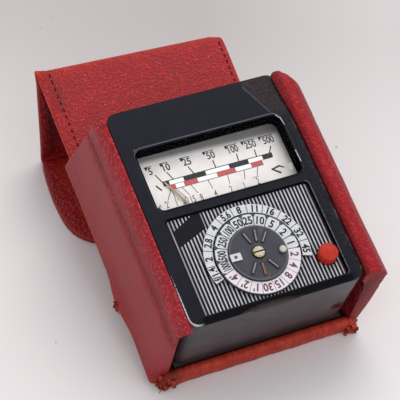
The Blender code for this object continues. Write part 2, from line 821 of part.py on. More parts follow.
def build_cell(frame, looks):
    inner_far = housing_length - housing_wall
    carrier_far = inner_far - gap
    carrier_near = carrier_far - carrier_thickness
    block = box_outline(-carrier_half_width, carrier_half_width, floor_top + gap, carrier_top)
    carrier = prism("cell_carrier", block, carrier_near, carrier_far, frame, looks["bakelite"], along="Y")
    pocket_near = carrier_far - pocket_depth
    pocket = box_outline(
        -lens_half_width - gap, lens_half_width + gap, lens_bottom - gap, carrier_top + overrun
    )
    cut(carrier, prism("cell_pocket", pocket, pocket_near, carrier_far + overrun, frame, along="Y"))
    cell = box_outline(-lens_half_width, lens_half_width, lens_bottom, lens_top)
    cell_near = pocket_near + gap
    cell_far = cell_near + cell_thickness
    prism("selenium_cell", cell, cell_near, cell_far, frame, looks["cell"], along="Y")
    contact_near = cell_far + gap
    contact_far = contact_near + contact_thickness
    contact = prism("contact_frame", cell, contact_near, contact_far, frame, looks["brass"], along="Y")
    inner = lens_half_width - contact_border
    light = box_outline(-inner, inner, lens_bottom + contact_border, lens_top - contact_border)
    cut(contact, prism("contact_opening", light, contact_near - overrun, contact_far + overrun, frame,
                       along="Y"))
    lens_near = contact_far + gap
    prism("cell_lens", cell, lens_near, housing_length - gap, frame, looks["lens"], along="Y")

    spool_z = floor_top + gap + resistor_radius
    spool_axis = empty("resistor_axis", frame, (resistor_x, resistor_y, spool_z), (90.0, 0.0, 0.0))
    half = resistor_length / 2
    inner_half = half - resistor_flange
    profile = (
        (0.0, -half),
        (resistor_radius, -half),
        (resistor_radius, -inner_half),
        (resistor_waist, -inner_half),
        (resistor_waist, inner_half),
        (resistor_radius, inner_half),
        (resistor_radius, half),
        (0.0, half),
    )
    turned("series_resistor", profile, spool_axis, looks["spool"], sides=small_sides)
    lead_z = floor_top + gap + lead_radius
    start_y = carrier_near - gap
    end_y = pivot_y + magnet_half_y + gap
    leads = (("cell_lead", cell_lead_x, cell_lead_bow), ("return_lead", return_lead_x, return_lead_bow))
    for name, x, bow in leads:
        points = []
        for i in range(lead_steps + 1):
            share = i / lead_steps
            bowed = x + bow * math.sin(math.pi * share)
            points.append((bowed, start_y + (end_y - start_y) * share, lead_z))
        tube(name, points, lead_radius, frame, looks["lead"])


def wall_cover(name, shares, side, bulge, lip_top, frame, looks):
    """One wall of the case: a leather cover that ends in a lip, over a board beside the housing."""
    foot_z = bottom_leather_top + gap
    fall = foot_z - lip_top
    points = [(side * (meter_wall_x + bulge * out), lip_top + fall * down) for out, down in shares]
    inner = offset_path(points, -side * leather)
    lip_end = (points[0][0], points[0][1] - leather)
    inside = [lip_end] + [tuple(point) for point in inner[2:-1]] + [(inner[-1].x, foot_z)]
    cover = prism(f"case_{name}_cover", points + inside[::-1], wall_near, wall_far, frame,
                  looks["leather"], along="Y")
    deeper = offset_path(points, -side * (leather + gap))
    beside = [tuple(point) for point in deeper[2:-1] if side * point.x > meter_wall_x + gap]
    board = [(points[0][0], min(beside[0][1], lip_end[1] - gap))] + beside
    board += [(deeper[-1].x, foot_z), (points[0][0], foot_z)]
    stiffener = prism(f"case_{name}_stiffener", board, wall_near, wall_far, frame, looks["board"],
                      along="Y")
    for made in (cover, stiffener):
        spread_foot(made)


def spread_foot(wall):
    """Both cut edges of a wall lean out towards its foot."""
    middle = (wall_near + wall_far) / 2
    for vertex in wall.data.vertices:
        lead = wall_foot_lead * max(-vertex.co.z, 0.0) / housing_depth
        vertex.co.y += lead if vertex.co.y > middle else -lead


def build_case(frame, looks):
    wall_cover("left", left_wall_shares, -1.0, left_bulge, left_lip_top, frame, looks)
    wall_cover("right", right_wall_shares, 1.0, right_bulge, right_lip_top, frame, looks)
    bottom = box_outline(case_left, case_right, -ledge_reach, floor_far)
    prism("case_bottom_leather", bottom, case_bottom, bottom_leather_top, frame, looks["leather"])
    board = box_outline(-half_width, half_width, 0.0, floor_far)
    prism("case_bottom_board", board, board_bottom, board_top, frame, looks["board"])
    welt_far = -gap
    radius = (ledge_top - bottom_leather_top - gap) / 2
    welt = [(-ledge_reach, bottom_leather_top + gap)]
    welt += [(welt_far, bottom_leather_top + gap), (welt_far, ledge_top)]
    round_centre = (radius - ledge_reach, ledge_top - radius)
    welt += [polar(radius, angle, round_centre) for angle in range(90, 181, 30)]
    prism("near_edge_welt", welt, -half_width, half_width, frame, looks["worn"], along="X")


def panel(name, layer, outline, mitre, length, parent, look):
    """One layer of a lid panel. Its crease end is mitred, and so is the far end where length is given."""
    top, thickness = layer
    bottom = top - thickness
    near_mitre, far_mitre = mitre
    def at(depth):
        near = crease_gap - depth * near_mitre
        far = None if length is None else length - crease_gap + depth * far_mitre
        return outline(near, far)
    return prism(name, at(bottom), bottom, top, parent, look, high_outline=at(top))


def straight_panel(near, far):
    return box_outline(lid_centre - lid_half_width, lid_centre + lid_half_width, near, far)


def tongue_outline(near, far):
    """Straight crease, sides that swell a little, and a round end."""
    half = []
    for i in range(4):
        share = i / 4
        y = near + (tongue_swell - near) * share
        swell = math.sin(math.pi / 2 * y / tongue_swell)
        half.append((lid_half_width + (tongue_half_width - lid_half_width) * swell, y))
    for i in range(tongue_steps + 1):
        angle = math.pi / 2 * i / tongue_steps
        x = tongue_half_width * math.cos(angle) ** (2 / tongue_round)
        y = tongue_swell + (tongue_length - tongue_swell) * math.sin(angle) ** (2 / tongue_round)
        half.append((x, y))
    right = [(lid_centre + x, y) for x, y in half]
    left = [(lid_centre - x, y) for x, y in half[-2::-1]]
    return right + left


def build_lid(frame, looks):
    """Three panels in a chain. Each crease axis lies in the lining's face, on the panel's inner side."""
    hinge_y = floor_far + crease_gap
    rise = math.radians(tilt)
    hinge_height = case_height(hinge_y, bottom_leather_top)
    ridge_height = hinge_height + end_panel_length * math.sin(rise)
    front_panel_length = ridge_height / math.cos(math.radians(leg_lean))
    ridge_turn = -(tilt + 90.0 + leg_lean)
    table_turn = leg_lean - 90.0
    ridge_mitre = 1 / math.tan(math.radians(180.0 + ridge_turn) / 2)
    table_mitre = 1 / math.tan(math.radians(180.0 + table_turn) / 2)
    end_axis = empty("flap_end_axis", frame, (0.0, hinge_y, bottom_leather_top))
    front_axis = empty("flap_front_axis", end_axis, (0.0, end_panel_length, 0.0), (ridge_turn, 0.0, 0.0))
    tongue_axis = empty("flap_tongue_axis", front_axis, (0.0, front_panel_length, 0.0),
                        (table_turn, 0.0, 0.0))
    lining = (0.0, lid_lining)
    outer = (-lid_lining - gap, lid_leather)
    for suffix, layer, look in (("lining", lining, looks["leather"]), ("leather", outer, looks["leather"])):
        panel(f"flap_end_{suffix}", layer, straight_panel, (0.0, ridge_mitre), end_panel_length,
              end_axis, look)
        panel(f"flap_front_{suffix}", layer, straight_panel, (ridge_mitre, table_mitre),
              front_panel_length, front_axis, look)
        panel(f"flap_tongue_{suffix}", layer, tongue_outline, (table_mitre, 0.0), None, tongue_axis, look)


def case_height(y, z):
    """Height above the table of a point of the meter frame, when the near bottom edge is on the table."""
    rise = math.radians(tilt)
    lowest = -ledge_reach * math.sin(rise) + case_bottom * math.cos(rise)
    return y * math.sin(rise) + z * math.cos(rise) - lowest


def centre_on_table(frame):
    """Moves the tilted frame so that the whole object stands on z = 0, centred on its footprint."""
    bpy.context.view_layer.update()
    graph = bpy.context.evaluated_depsgraph_get()
    points = []
    for made in bpy.context.scene.objects:
        if made.type == "EMPTY" or made.hide_render:
            continue
        shape = made.evaluated_get(graph)
        mesh = shape.to_mesh()
        points += [shape.matrix_world @ vertex.co for vertex in mesh.vertices]
        shape.to_mesh_clear()
    lows = [min(point[i] for point in points) for i in range(3)]
    highs = [max(point[i] for point in points) for i in range(3)]
    frame.location.x -= (lows[0] + highs[0]) / 2
    frame.location.y -= (lows[1] + highs[1]) / 2
    frame.location.z -= lows[2]


def main():
    for made in list(bpy.data.objects):
        bpy.data.objects.remove(made)
    looks = {
        "bakelite": material("bakelite", (0.022, 0.022, 0.026), 0.3),
        "glass": material("glass", (0.9, 0.92, 0.92), 0.05),
        "card": material("card", (0.76, 0.75, 0.70), 0.6),
        "stripes": material("stripes", (0.35, 0.34, 0.34), 0.4, 0.5),
        "ring": material("ring", (0.70, 0.69, 0.65), 0.45),
        "brass": material("brass", (0.55, 0.42, 0.22), 0.35, 1.0),
        "steel": material("steel", (0.55, 0.55, 0.56), 0.3, 1.0),
        "copper": material("copper", (0.45, 0.16, 0.08), 0.4, 1.0),
        "button": material("button", (0.50, 0.04, 0.02), 0.35),
        "cell": material("cell", (0.12, 0.13, 0.15), 0.35, 0.3),
        "lens": material("lens", (0.75, 0.78, 0.78), 0.1),
        "spool": material("spool", (0.25, 0.12, 0.05), 0.6),
        "lead": material("lead", (0.30, 0.05, 0.04), 0.6),
        "leather": material("leather", (0.37, 0.026, 0.030), 0.55),
        "worn": material("worn", (0.40, 0.05, 0.025), 0.75),
        "board": material("board", (0.20, 0.12, 0.08), 0.9),
    }
    frame = empty("meter_frame", None, (0.0, 0.0, 0.0), (tilt, 0.0, 0.0))
    build_housing(frame, looks)
    build_fasteners(frame, looks)
    build_dial(frame, looks)
    build_button(frame, looks)
    build_movement(frame, looks)
    build_cell(frame, looks)
    build_case(frame, looks)
    build_lid(frame, looks)
    centre_on_table(frame)


main()
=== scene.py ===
"""Finish of the selenium light meter in its leather case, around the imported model.

Pieces are placed in the meter frame: x across the face, y from the near end to the far end, z out
of the face. Lengths there are in millimetres, and the meshes are made in metres in the world.
"""
import json
import math
import random
from functools import reduce

import bmesh
import bpy
from mathutils import Matrix, Vector, noise


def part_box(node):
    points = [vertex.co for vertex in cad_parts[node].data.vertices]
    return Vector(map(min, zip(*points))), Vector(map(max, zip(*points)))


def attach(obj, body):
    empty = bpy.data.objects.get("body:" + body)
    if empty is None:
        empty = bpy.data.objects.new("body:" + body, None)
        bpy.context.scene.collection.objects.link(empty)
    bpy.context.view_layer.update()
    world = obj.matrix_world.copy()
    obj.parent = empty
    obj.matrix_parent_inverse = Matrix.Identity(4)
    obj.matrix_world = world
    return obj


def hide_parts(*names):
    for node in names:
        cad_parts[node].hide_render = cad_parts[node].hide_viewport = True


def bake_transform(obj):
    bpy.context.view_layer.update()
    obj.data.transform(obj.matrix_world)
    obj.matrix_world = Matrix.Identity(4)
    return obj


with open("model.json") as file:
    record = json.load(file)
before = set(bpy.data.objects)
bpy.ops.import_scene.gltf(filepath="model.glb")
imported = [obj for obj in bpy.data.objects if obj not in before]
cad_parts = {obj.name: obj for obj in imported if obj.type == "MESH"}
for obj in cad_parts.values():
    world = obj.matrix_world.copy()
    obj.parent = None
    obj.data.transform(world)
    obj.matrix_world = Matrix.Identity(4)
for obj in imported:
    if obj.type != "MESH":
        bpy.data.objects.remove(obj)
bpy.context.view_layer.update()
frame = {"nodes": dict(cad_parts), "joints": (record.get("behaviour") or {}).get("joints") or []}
nodes = frame["nodes"]
joints = {joint["name"]: joint for joint in frame["joints"]}

mm = 0.001

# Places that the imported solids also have, in the meter frame
needle_pivot_y = 16.2
dial = (-0.5, 16.3)
button = (20.0, 9.9)
rib_angles = (108.0, 78.0, 50.0, -59.0, -96.0, -127.0)
rib_reach = (3.9, 7.2)
card_z = -4.93
window_box = (-24.3, 37.7, 25.2, 60.0)
window_round = 2.7
bead_inner = (-24.3, 37.7, 24.5, 59.2)
bead_outer = (-24.8, 37.3, 25.5, 60.4)
bead_round = 2.6
# Painted glints on the window's bead: start, end and width of each.
bead_glints = (((23.5, 58.9), (24.6, 57.5), 0.13), ((24.6, 57.5), (24.9, 55.0), 0.13),
               ((23.0, 58.4), (23.9, 57.2), 0.09), ((24.72, 45.6), (24.82, 41.6), 0.15),
               ((-24.5, 59.2), (-23.6, 59.9), 0.15))
recess_box = (-23.8, 2.2, 24.1, 34.9)
stripe_box = (-23.5, 2.45, 23.9, 34.7)
stripe_pitch = 1.17
wall_x = 28.8
wall_near = 1.3
wall_far = 73.9
wall_lead = 2.2
groove_z = -9.9
floor_far = 76.4
face_depth = 29.0
foot_z = -32.5
bottom_z = -35.0
floor_z = -32.8
left_wall = {
    "side": -1.0, "bulge": 7.5, "lip": 1.0, "flare": 1.4, "flare_y": 26.0, "ahead": 0.0, "tip": 1.5,
    "near_round": 4.4, "far_round": 0.8, "wide_near": 0.5, "lean": 0.0, "open": 2.2,
    "shares": ((0.0, 0.0), (0.16, 0.02), (0.31, 0.12), (0.38, 0.27), (0.62, 0.57), (0.91, 0.84), (1.0, 1.0)),
}
right_wall = {
    "side": 1.0, "bulge": 8.4, "lip": 2.4, "flare": 0.0, "flare_y": 0.0, "ahead": 1.0, "tip": 0.4,
    "near_round": 1.4, "far_round": 6.0, "wide_near": 0.3, "lean": 1.5, "open": 1.5,
    "shares": ((0.0, 0.016), (0.18, 0.0), (0.50, 0.009), (0.79, 0.094), (0.96, 0.194), (0.93, 0.42),
               (0.80, 0.72), (0.64, 0.92), (0.56, 1.0)),
}
lid_centre = -1.0
lid_half = 32.4
floor_half = 34.5
leather = 2.2
hinge_y = 76.7
end_panel_length = 35.6
tongue_length = 48.0
tongue_half = 35.7
tongue_swell = 27.0
tongue_round = 3.0
stitch_lines = (-28.5, 30.6)
stitch_pitch = 2.6
stitch_half = 0.75
stitch_radius = 0.30
wall_ends = (0.0, 0.3, 0.7, 1.2, 1.9, 2.8, 4.0, 5.4, 7.0)
wall_middle = 20
strip_ends = (-33.9, 33.6)
strip_section = ((0.0, 0.12), (0.03, 0.45), (0.10, 0.74), (0.26, 0.93), (0.5, 1.0), (0.8, 0.96), (1.0, 0.88),
                 (1.0, 0.4), (1.0, 0.0), (0.5, 0.0), (0.16, 0.0), (0.05, 0.04))
dome_section = ((1.5, -0.2), (1.5, 0.0), (1.3, 0.24), (0.95, 0.44), (0.5, 0.56), (0.12, 0.6))
dome_pitch = (3.1, 2.7)
dome_border = 1.9
table_gap = 0.00025
print_lift = 0.03
outer_cells = (13.8, 16.62)
time_cells = (9.35, 13.1)
cell_gap = 0.35
digit_share = 0.69
fixed_ring_top = 0.93
time_ring_top = 1.28
index_top = 2.68
ink_lift = 0.02

# The photograph's camera, in the world in metres
camera_lens = 153.0
camera_place = (-0.17510, -0.33938, 0.41331)
camera_right = (0.91217, -0.40569, 0.05788)
camera_up = (0.25457, 0.67164, 0.69578)
camera_back = (-0.32114, -0.61993, 0.71592)


def meter_matrix():
    """The meter frame in the world, with millimetres as its unit."""
    out = Vector(joints["time_disc_turn"]["axis"]).normalized()
    along = Vector(joints["brake_turn"]["axis"]).normalized()
    across = along.cross(out)
    origin = Vector(joints["needle_swing"]["pos_m"]) - along * needle_pivot_y * mm
    turn = Matrix((across, along, out)).transposed().to_4x4()
    return Matrix.Translation(origin) @ turn @ Matrix.Scale(mm, 4)


METER = meter_matrix()
TO_METER = METER.inverted()
tilt = math.atan2(-METER.col[2][1], METER.col[2][2])


def linear(*colour):
    """A colour as it is seen, from 0 to 255, in the values that a shader takes."""
    made = []
    for value in colour:
        share = value / 255
        made.append(share / 12.92 if share <= 0.04045 else ((share + 0.055) / 1.055) ** 2.4)
    return (*made, 1.0)


class Value:
    """A number in a material's nodes, which plain arithmetic works on."""

    def __init__(self, paint, socket):
        self.paint = paint
        self.socket = socket

    def __add__(self, other):
        return self.paint.math("ADD", self, other)

    def __sub__(self, other):
        return self.paint.math("SUBTRACT", self, other)

    def __rsub__(self, other):
        return self.paint.math("SUBTRACT", other, self)

    def __mul__(self, other):
        return self.paint.math("MULTIPLY", self, other)

    def __truediv__(self, other):
        return self.paint.math("DIVIDE", self, other)

    def __abs__(self):
        return self.paint.math("ABSOLUTE", self)


class Paint:
    """A material being made. Each method adds nodes and gives what they end in."""

    def __init__(self, name, colour, roughness=0.5, metallic=0.0, **sockets):
        self.made = bpy.data.materials.new(name)
        self.made.use_nodes = True
        self.made.diffuse_color = linear(*colour)
        self.tree = self.made.node_tree
        self.shader = self.tree.nodes["Principled BSDF"]
        self.last_bump = None
        self.lay(linear(*colour))
        self.set("Roughness", roughness)
        self.set("Metallic", metallic)
        for key, value in sockets.items():
            self.set(key.replace("_", " "), value)

    def set(self, socket, value):
        self.put(value, self.shader.inputs[socket])

    def put(self, value, socket):
        value = getattr(value, "socket", value)
        if isinstance(value, bpy.types.NodeSocket):
            self.tree.links.new(value, socket)
        elif value is not None:
            socket.default_value = value

    def node(self, kind, inputs=(), **settings):
        made = self.tree.nodes.new(kind)
        for key, value in settings.items():
            setattr(made, key, value)
        for key, value in dict(inputs).items():
            self.put(value, made.inputs[key])
        return made

    def lay(self, colour):
        """Sets the ground that coats go over."""
        self.colour = colour
        self.set("Base Color", colour)

    def coat(self, share, colour):
        """Covers the colour so far with another one, by a share from 0 to 1."""
        self.lay(self.mix(share, self.colour, colour))

    def linked(self, socket):
        """The number that a socket of the shader takes so far."""
        return Value(self, self.shader.inputs[socket].links[0].from_socket)

    def on_face(self):
        """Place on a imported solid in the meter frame, in millimetres, and its x, y and z."""
        inputs = {"Vector": self.node("ShaderNodeTexCoord").outputs["Object"],
                  "Location": METER.translation, "Rotation": (tilt, 0.0, 0.0), "Scale": (mm, mm, mm)}
        place = self.node("ShaderNodeMapping", inputs, vector_type="TEXTURE").outputs[0]
        return place, *self.parts(place)

    def attribute(self, name):
        return self.node("ShaderNodeAttribute", attribute_name=name).outputs["Vector"]

    def parts(self, vector):
        made = self.node("ShaderNodeSeparateXYZ", {"Vector": vector})
        return [Value(self, socket) for socket in made.outputs]

    def vector(self, operation, *inputs):
        return self.node("ShaderNodeVectorMath", enumerate(inputs), operation=operation).outputs["Vector"]

    def measure(self, operation, *inputs):
        """A number from vectors, such as a length."""
        made = self.node("ShaderNodeVectorMath", enumerate(inputs), operation=operation)
        return Value(self, made.outputs["Value"])

    def away_from(self, centre, place):
        """Distance from a centre on the face, measured along the face."""
        around = self.vector("SUBTRACT", place, (*centre, 0.0))
        return self.measure("LENGTH", self.vector("MULTIPLY", around, (1.0, 1.0, 0.0)))

    def noise(self, vector, size, detail=3.0, roughness=0.55):
        """Soft noise whose features are about size millimetres across."""
        inputs = {"Vector": vector, "Scale": 1 / size, "Detail": detail, "Roughness": roughness}
        return Value(self, self.node("ShaderNodeTexNoise", inputs).outputs["Fac"])

    def cells(self, vector, size, feature="F1"):
        made = self.node("ShaderNodeTexVoronoi", {"Vector": vector, "Scale": 1 / size}, feature=feature)
        return Value(self, made.outputs["Distance"])

    def math(self, operation, *inputs):
        return Value(self, self.node("ShaderNodeMath", enumerate(inputs), operation=operation).outputs[0])

    def larger(self, a, b):
        return self.math("MAXIMUM", a, b)

    def smaller(self, a, b):
        return self.math("MINIMUM", a, b)

    def spread(self, value, low, high, to_low=0.0, to_high=1.0, smooth=False):
        """The value from low to high, taken to the range from to_low to to_high and kept in it."""
        kind = "SMOOTHSTEP" if smooth else "LINEAR"
        inputs = enumerate((value, low, high, to_low, to_high))
        return Value(self, self.node("ShaderNodeMapRange", inputs, interpolation_type=kind).outputs[0])

    def mix(self, share, a, b):
        made = self.node("ShaderNodeMix", {0: share}, data_type="RGBA")
        for colour, socket in ((a, made.inputs[6]), (b, made.inputs[7])):
            self.put(linear(*colour) if isinstance(colour, tuple) else colour, socket)
        return made.outputs[2]

    def bump(self, height, distance):
        """Raises the surface where height is high; distance is in millimetres."""
        inputs = {"Height": height, "Strength": 1.0, "Distance": distance * mm, "Normal": self.last_bump}
        self.last_bump = self.node("ShaderNodeBump", inputs).outputs[0]
        self.set("Normal", self.last_bump)


def shaded(colour, share):
    return tuple(value * share for value in colour)


def leather_look(name, red, deep, worn, smooth, grain_size=0.80, grain_depth=0.20, specular=0.27,
                 highlight_speckle=(0.40, 0.62, 0.66)):
    """Pebbled leather. The attribute tone gives wear, smoothness and darkening, from 0 to 1: smooth places
    get a painted sheen, and the darkening is real dirt in some places and painted shade in others.

    Painted highlight specks on the pebble tops grow as a noise goes from the first to the second value of
    highlight_speckle, up to the share that is its third value.
    """
    look = Paint(name, red, 0.46, Specular_IOR_Level=specular)
    place = look.attribute("place")
    # The tone's parts: wear, smoothness with a painted sheen, and darkening from dirt and painted shade.
    wear, flat, darkening = look.parts(look.attribute("tone"))
    warp = look.node("ShaderNodeTexNoise", {"Vector": place, "Scale": 1 / 1.1, "Detail": 2.0})
    bent = look.vector("MULTIPLY_ADD", warp.outputs["Color"], (0.5, 0.5, 0.5), place)
    crease = look.spread(look.cells(bent, grain_size, "SMOOTH_F1"), 0.12, 0.58, 1.0, 0.0, smooth=True)
    fine = look.noise(place, 0.3, 2.0)
    broad = look.noise(place, 9.0, 3.0)
    patch = look.noise(place, 2.6, 4.0, 0.65)
    streak = look.noise(look.vector("MULTIPLY", place, (0.9, 0.10, 0.5)), 0.7, 3.0, 0.6)
    pebbled = 1.0 - flat
    look.lay(look.mix(look.spread(broad, 0.3, 0.7), deep, red))
    # Painted shade: the creases between the pebbles are darkened.
    look.coat(look.spread(crease, 0.26, 0.0, 0.0, 0.56) * pebbled, shaded(deep, 0.72))
    low, high, amount = highlight_speckle
    # Painted highlights: light specks on the pebble tops.
    highlight_tops = look.spread(look.cells(bent, grain_size), 0.26, 0.1) * look.spread(patch, low, high)
    look.coat(highlight_tops * pebbled * amount, (232, 136, 138))
    spots = look.spread(patch, 0.42, 0.66, smooth=True)
    look.coat(wear * look.spread(spots, 0.0, 1.0, 0.45, 1.25), worn)
    # Painted sheen: smooth places are coated with the pale smooth colour.
    look.coat(flat * look.spread(streak, 0.36, 0.56, 0.55, 1.0), smooth)
    # Darkening: real dirt on some pieces, painted shade on others.
    look.coat(darkening * look.spread(patch, 0.2, 0.8, 0.8, 1.1), (52, 12, 14))
    look.set("Roughness", wear * 0.22 + look.spread(fine, 0.3, 0.7, 0.36, 0.52))
    look.bump(crease * look.larger(pebbled, 0.1), grain_depth)
    look.bump(fine, 0.02)
    look.bump(streak, 0.03)
    return look.made


def bakelite_look(name, colour, roughness, scuff, specular=0.4):
    """Black moulding with fine scuffs, specks of dust and a faint mottle."""
    look = Paint(name, colour, roughness, Specular_IOR_Level=specular)
    place = look.on_face()[0]
    mottle = look.noise(place, 6.0, 4.0)
    dust = look.noise(place, 1.1, 5.0, 0.7)
    scratch = look.noise(look.vector("MULTIPLY", place, (0.35, 1.6, 1.0)), 0.7, 4.0, 0.65)
    look.lay(look.mix(look.spread(mottle, 0.3, 0.7), shaded(colour, 0.86), shaded(colour, 1.12)))
    look.coat(look.spread(dust, 0.6, 0.78, 0.0, scuff), (104, 98, 94))
    look.set("Roughness", look.spread(scratch, 0.35, 0.7, roughness - 0.06, roughness + 0.14))
    look.bump(look.noise(place, 3.5, 2.0), 0.015)
    look.bump(scratch, 0.003)
    return look


def metal_look(name, colour, roughness, size=1.5):
    look = Paint(name, colour, roughness, 1.0)
    place = look.on_face()[0]
    brushed = look.noise(look.vector("MULTIPLY", place, (1.0, 0.2, 1.0)), size * 0.3)
    stain = look.noise(place, size, 4.0)
    look.lay(look.mix(look.spread(stain, 0.35, 0.7), colour, shaded(colour, 0.72)))
    look.set("Roughness", look.spread(stain, 0.3, 0.7, roughness - 0.08, roughness + 0.12))
    look.bump(brushed, 0.01)
    return look.made


def plain_look(name, colour, roughness, size=2.0, depth=0.02, vary=0.85, **sockets):
    """A matt or painted finish with a little variation."""
    look = Paint(name, colour, roughness, **sockets)
    place = look.on_face()[0]
    cloud = look.noise(place, size, 4.0)
    look.lay(look.mix(look.spread(cloud, 0.3, 0.7), shaded(colour, vary), colour))
    look.set("Roughness", look.spread(cloud, 0.3, 0.7, roughness - 0.05, roughness + 0.08))
    look.bump(look.noise(place, size * 0.2), depth)
    return look.made


def edge_distance(look, x, y, box, radius):
    """Distance from a rounded rectangle's outline, negative inside it. The box is its two corners."""
    left, near, right, far = box
    across = abs(x - (left + right) / 2) - ((right - left) / 2 - radius)
    along = abs(y - (near + far) / 2) - ((far - near) / 2 - radius)
    out_x, out_y = look.larger(across, 0.0), look.larger(along, 0.0)
    inside = look.smaller(look.larger(across, along), 0.0)
    return look.math("SQRT", out_x * out_x + out_y * out_y) + inside - radius


def segment_distance(look, x, y, start, end):
    """Distance from a straight line's stretch."""
    run = Vector(end) - Vector(start)
    dx, dy = x - start[0], y - start[1]
    share = dx * (run.x / run.length_squared) + dy * (run.y / run.length_squared)
    share = look.smaller(look.larger(share, 0.0), 1.0)
    gap_x, gap_y = share * -run.x + dx, share * -run.y + dy
    return look.math("SQRT", gap_x * gap_x + gap_y * gap_y)


def face_look():
    """The moulded face: a scuffed brown patch and a scratch at the far right corner, worn near edges with a
    painted highlight along the near left one, painted shade in the window's well and along the near edge, and
    a painted highlight on the recess edge.
    """
    look = bakelite_look("moulded_face", (19, 20, 30), 0.34, 0.08, 0.11)
    place, x, y, z = look.on_face()
    ragged = look.noise(place, 2.2, 5.0, 0.7)
    fine = look.noise(place, 0.6, 4.0, 0.7)
    scratch = (ragged - 0.5) * 0.7 + segment_distance(look, x, y, (17.3, 71.0), (22.3, 60.4))
    beside = look.spread(y * 0.4717 + x, 50.6, 51.4) * look.spread(y, 57.5, 60.5, smooth=True)
    grit = look.mix(look.spread(look.noise(place, 0.9, 5.0, 0.75), 0.36, 0.62), (20, 13, 14), (62, 50, 50))
    look.coat(beside * look.spread(ragged, 0.3, 0.6, 0.55, 1.0) * 0.9, grit)
    look.coat(beside * look.spread(fine, 0.6, 0.75, 0.0, 0.14), (104, 92, 90))
    scored = look.spread(scratch, 0.36, 0.05, 0.0, 0.42)
    look.coat(scored, (104, 98, 112))
    well = edge_distance(look, x, y, window_box, window_round)
    # Painted shade: the window's well wall and the hole's edge are painted near black.
    wall = look.spread(z, 0.75, 0.6) * look.spread(well, 1.6, 1.4)
    look.coat(look.larger(wall, look.spread(well, 0.12, 0.04)), (4, 4, 5))
    rim = edge_distance(look, x, y, (-28.5, 0.0, 28.5, 73.3), 3.0)
    low = look.spread(y, 21.0, 7.0, smooth=True) * look.spread(x, -23.6, -25.4)
    # The near left edge: real wear with a painted highlight along it.
    worn = low * look.spread(rim, -0.36, -0.2) * look.spread(low * 0.16 + fine, 0.5, 0.62)
    look.coat(worn * 0.85, (214, 212, 208))
    look.coat(look.spread(x, 27.4, 28.2) * look.spread(ragged, 0.5, 0.62) * 0.7, (96, 78, 68))
    look.coat(look.spread(fine, 0.56, 0.68) * look.spread(x, 25.2, 28.2, 0.0, 0.6), (104, 88, 80))
    # Painted shade: a near black band along the near edge.
    near_shade_band = look.spread(y, 2.3, 1.9) * look.spread(abs(x), 27.0, 24.0)
    look.coat(near_shade_band * 0.9, (6, 6, 8))
    recess = edge_distance(look, x, y, recess_box, 1.5)
    # Painted highlight: a light line along the right of the recess edge.
    lit = look.spread(x, 23.0, 23.8) * look.spread(fine, 0.36, 0.52, 0.1, 1.0)
    lit = lit * look.spread(y, 3.0, 6.0, 0.2, 0.45)
    look.coat(look.spread(abs(recess - 0.25), 0.11, 0.04) * lit, (190, 186, 184))
    rough = look.larger(look.linked("Roughness"), look.spread(well, 0.6, 0.0, 0.0, 0.9))
    look.set("Roughness", look.larger(rough, near_shade_band * 0.9))
    look.bump(scored, 0.02)
    return look.made


def bead_look():
    """The bead round the window: black, with a painted highlight line on its far crest and painted glints at
    its right and its far left corner.
    """
    look = bakelite_look("window_bead", (17, 18, 26), 0.34, 0.05, 0.11)
    place, x, y, z = look.on_face()
    fine = look.noise(place, 0.6, 4.0, 0.7)
    crest = edge_distance(look, x, y, bead_inner, bead_round)
    # Painted highlight: a grey line on the far crest.
    lit = look.larger(look.spread(y, 56.0, 59.0, 0.0, 0.5), look.spread(x, 24.0, 24.6, 0.0, 0.14))
    lit = look.larger(lit, look.spread(x, -22.4, -24.0, 0.0, 0.2))
    look.coat(look.spread(abs(crest - 0.5), 0.24, 0.08) * lit, (118, 122, 134))
    # Painted glints at the bead's right and far left corner.
    glints = reduce(look.larger, [look.spread(segment_distance(look, x, y, start, end), width, width * 0.4)
                                  for start, end, width in bead_glints])
    shown = look.spread(fine, 0.36, 0.5, 0.35, 0.9) * look.spread(z, 0.8, 1.0)
    look.coat(glints * shown, (222, 222, 228))
    return look.made


def tub_look():
    """The moulded tub: grey at its near end as a painted reflection of the floor, with a soft dark arc, a
    painted highlight on its right corner and darker blotches towards its foot.
    """
    # Painted reflection: the black moulding is coloured grey where its near end reflects the floor.
    look = bakelite_look("moulded_tub", (62, 59, 62), 0.34, 0.02, 0.34)
    place, x, _, z = look.on_face()
    ragged = look.noise(place, 1.4, 5.0, 0.7)
    bite = look.noise(look.vector("MULTIPLY", place, (1.0, 0.0, 0.25)), 2.6, 4.0, 0.6)
    reach = look.spread(abs(x + 1.0), 11.5, 6.0, smooth=True)
    chipped = look.spread(z - (bite * -4.4 + 0.2) * reach, -0.12, 0.12)
    grit = look.mix(look.spread(ragged, 0.35, 0.6), (12, 10, 10), (44, 32, 26))
    look.coat(chipped * reach, grit)
    arc = x * x * -0.012 + (x * 0.62 + z)
    look.coat(look.spread(arc, -12.6, -13.4, 0.0, 0.22, smooth=True), (36, 33, 35))
    look.coat(look.spread(abs(arc + 12.9), 0.9, 0.2, 0.0, 0.3), (30, 28, 30))
    # Painted highlight along the right corner.
    corner = look.spread(abs(x - 27.35), 0.5, 0.12, 0.0, 0.6)
    look.coat(corner * look.spread(z, -22.0, -6.0), (196, 193, 192))
    # Darker and blotchy towards the foot.
    foot = look.spread(z, -23.0, -28.6) * look.spread(ragged, 0.3, 0.6, 0.4, 1.0)
    look.coat(foot * 0.75, (34, 27, 27))
    look.set("Roughness", look.spread(ragged, 0.3, 0.7, 0.36, 0.44))
    return look.made


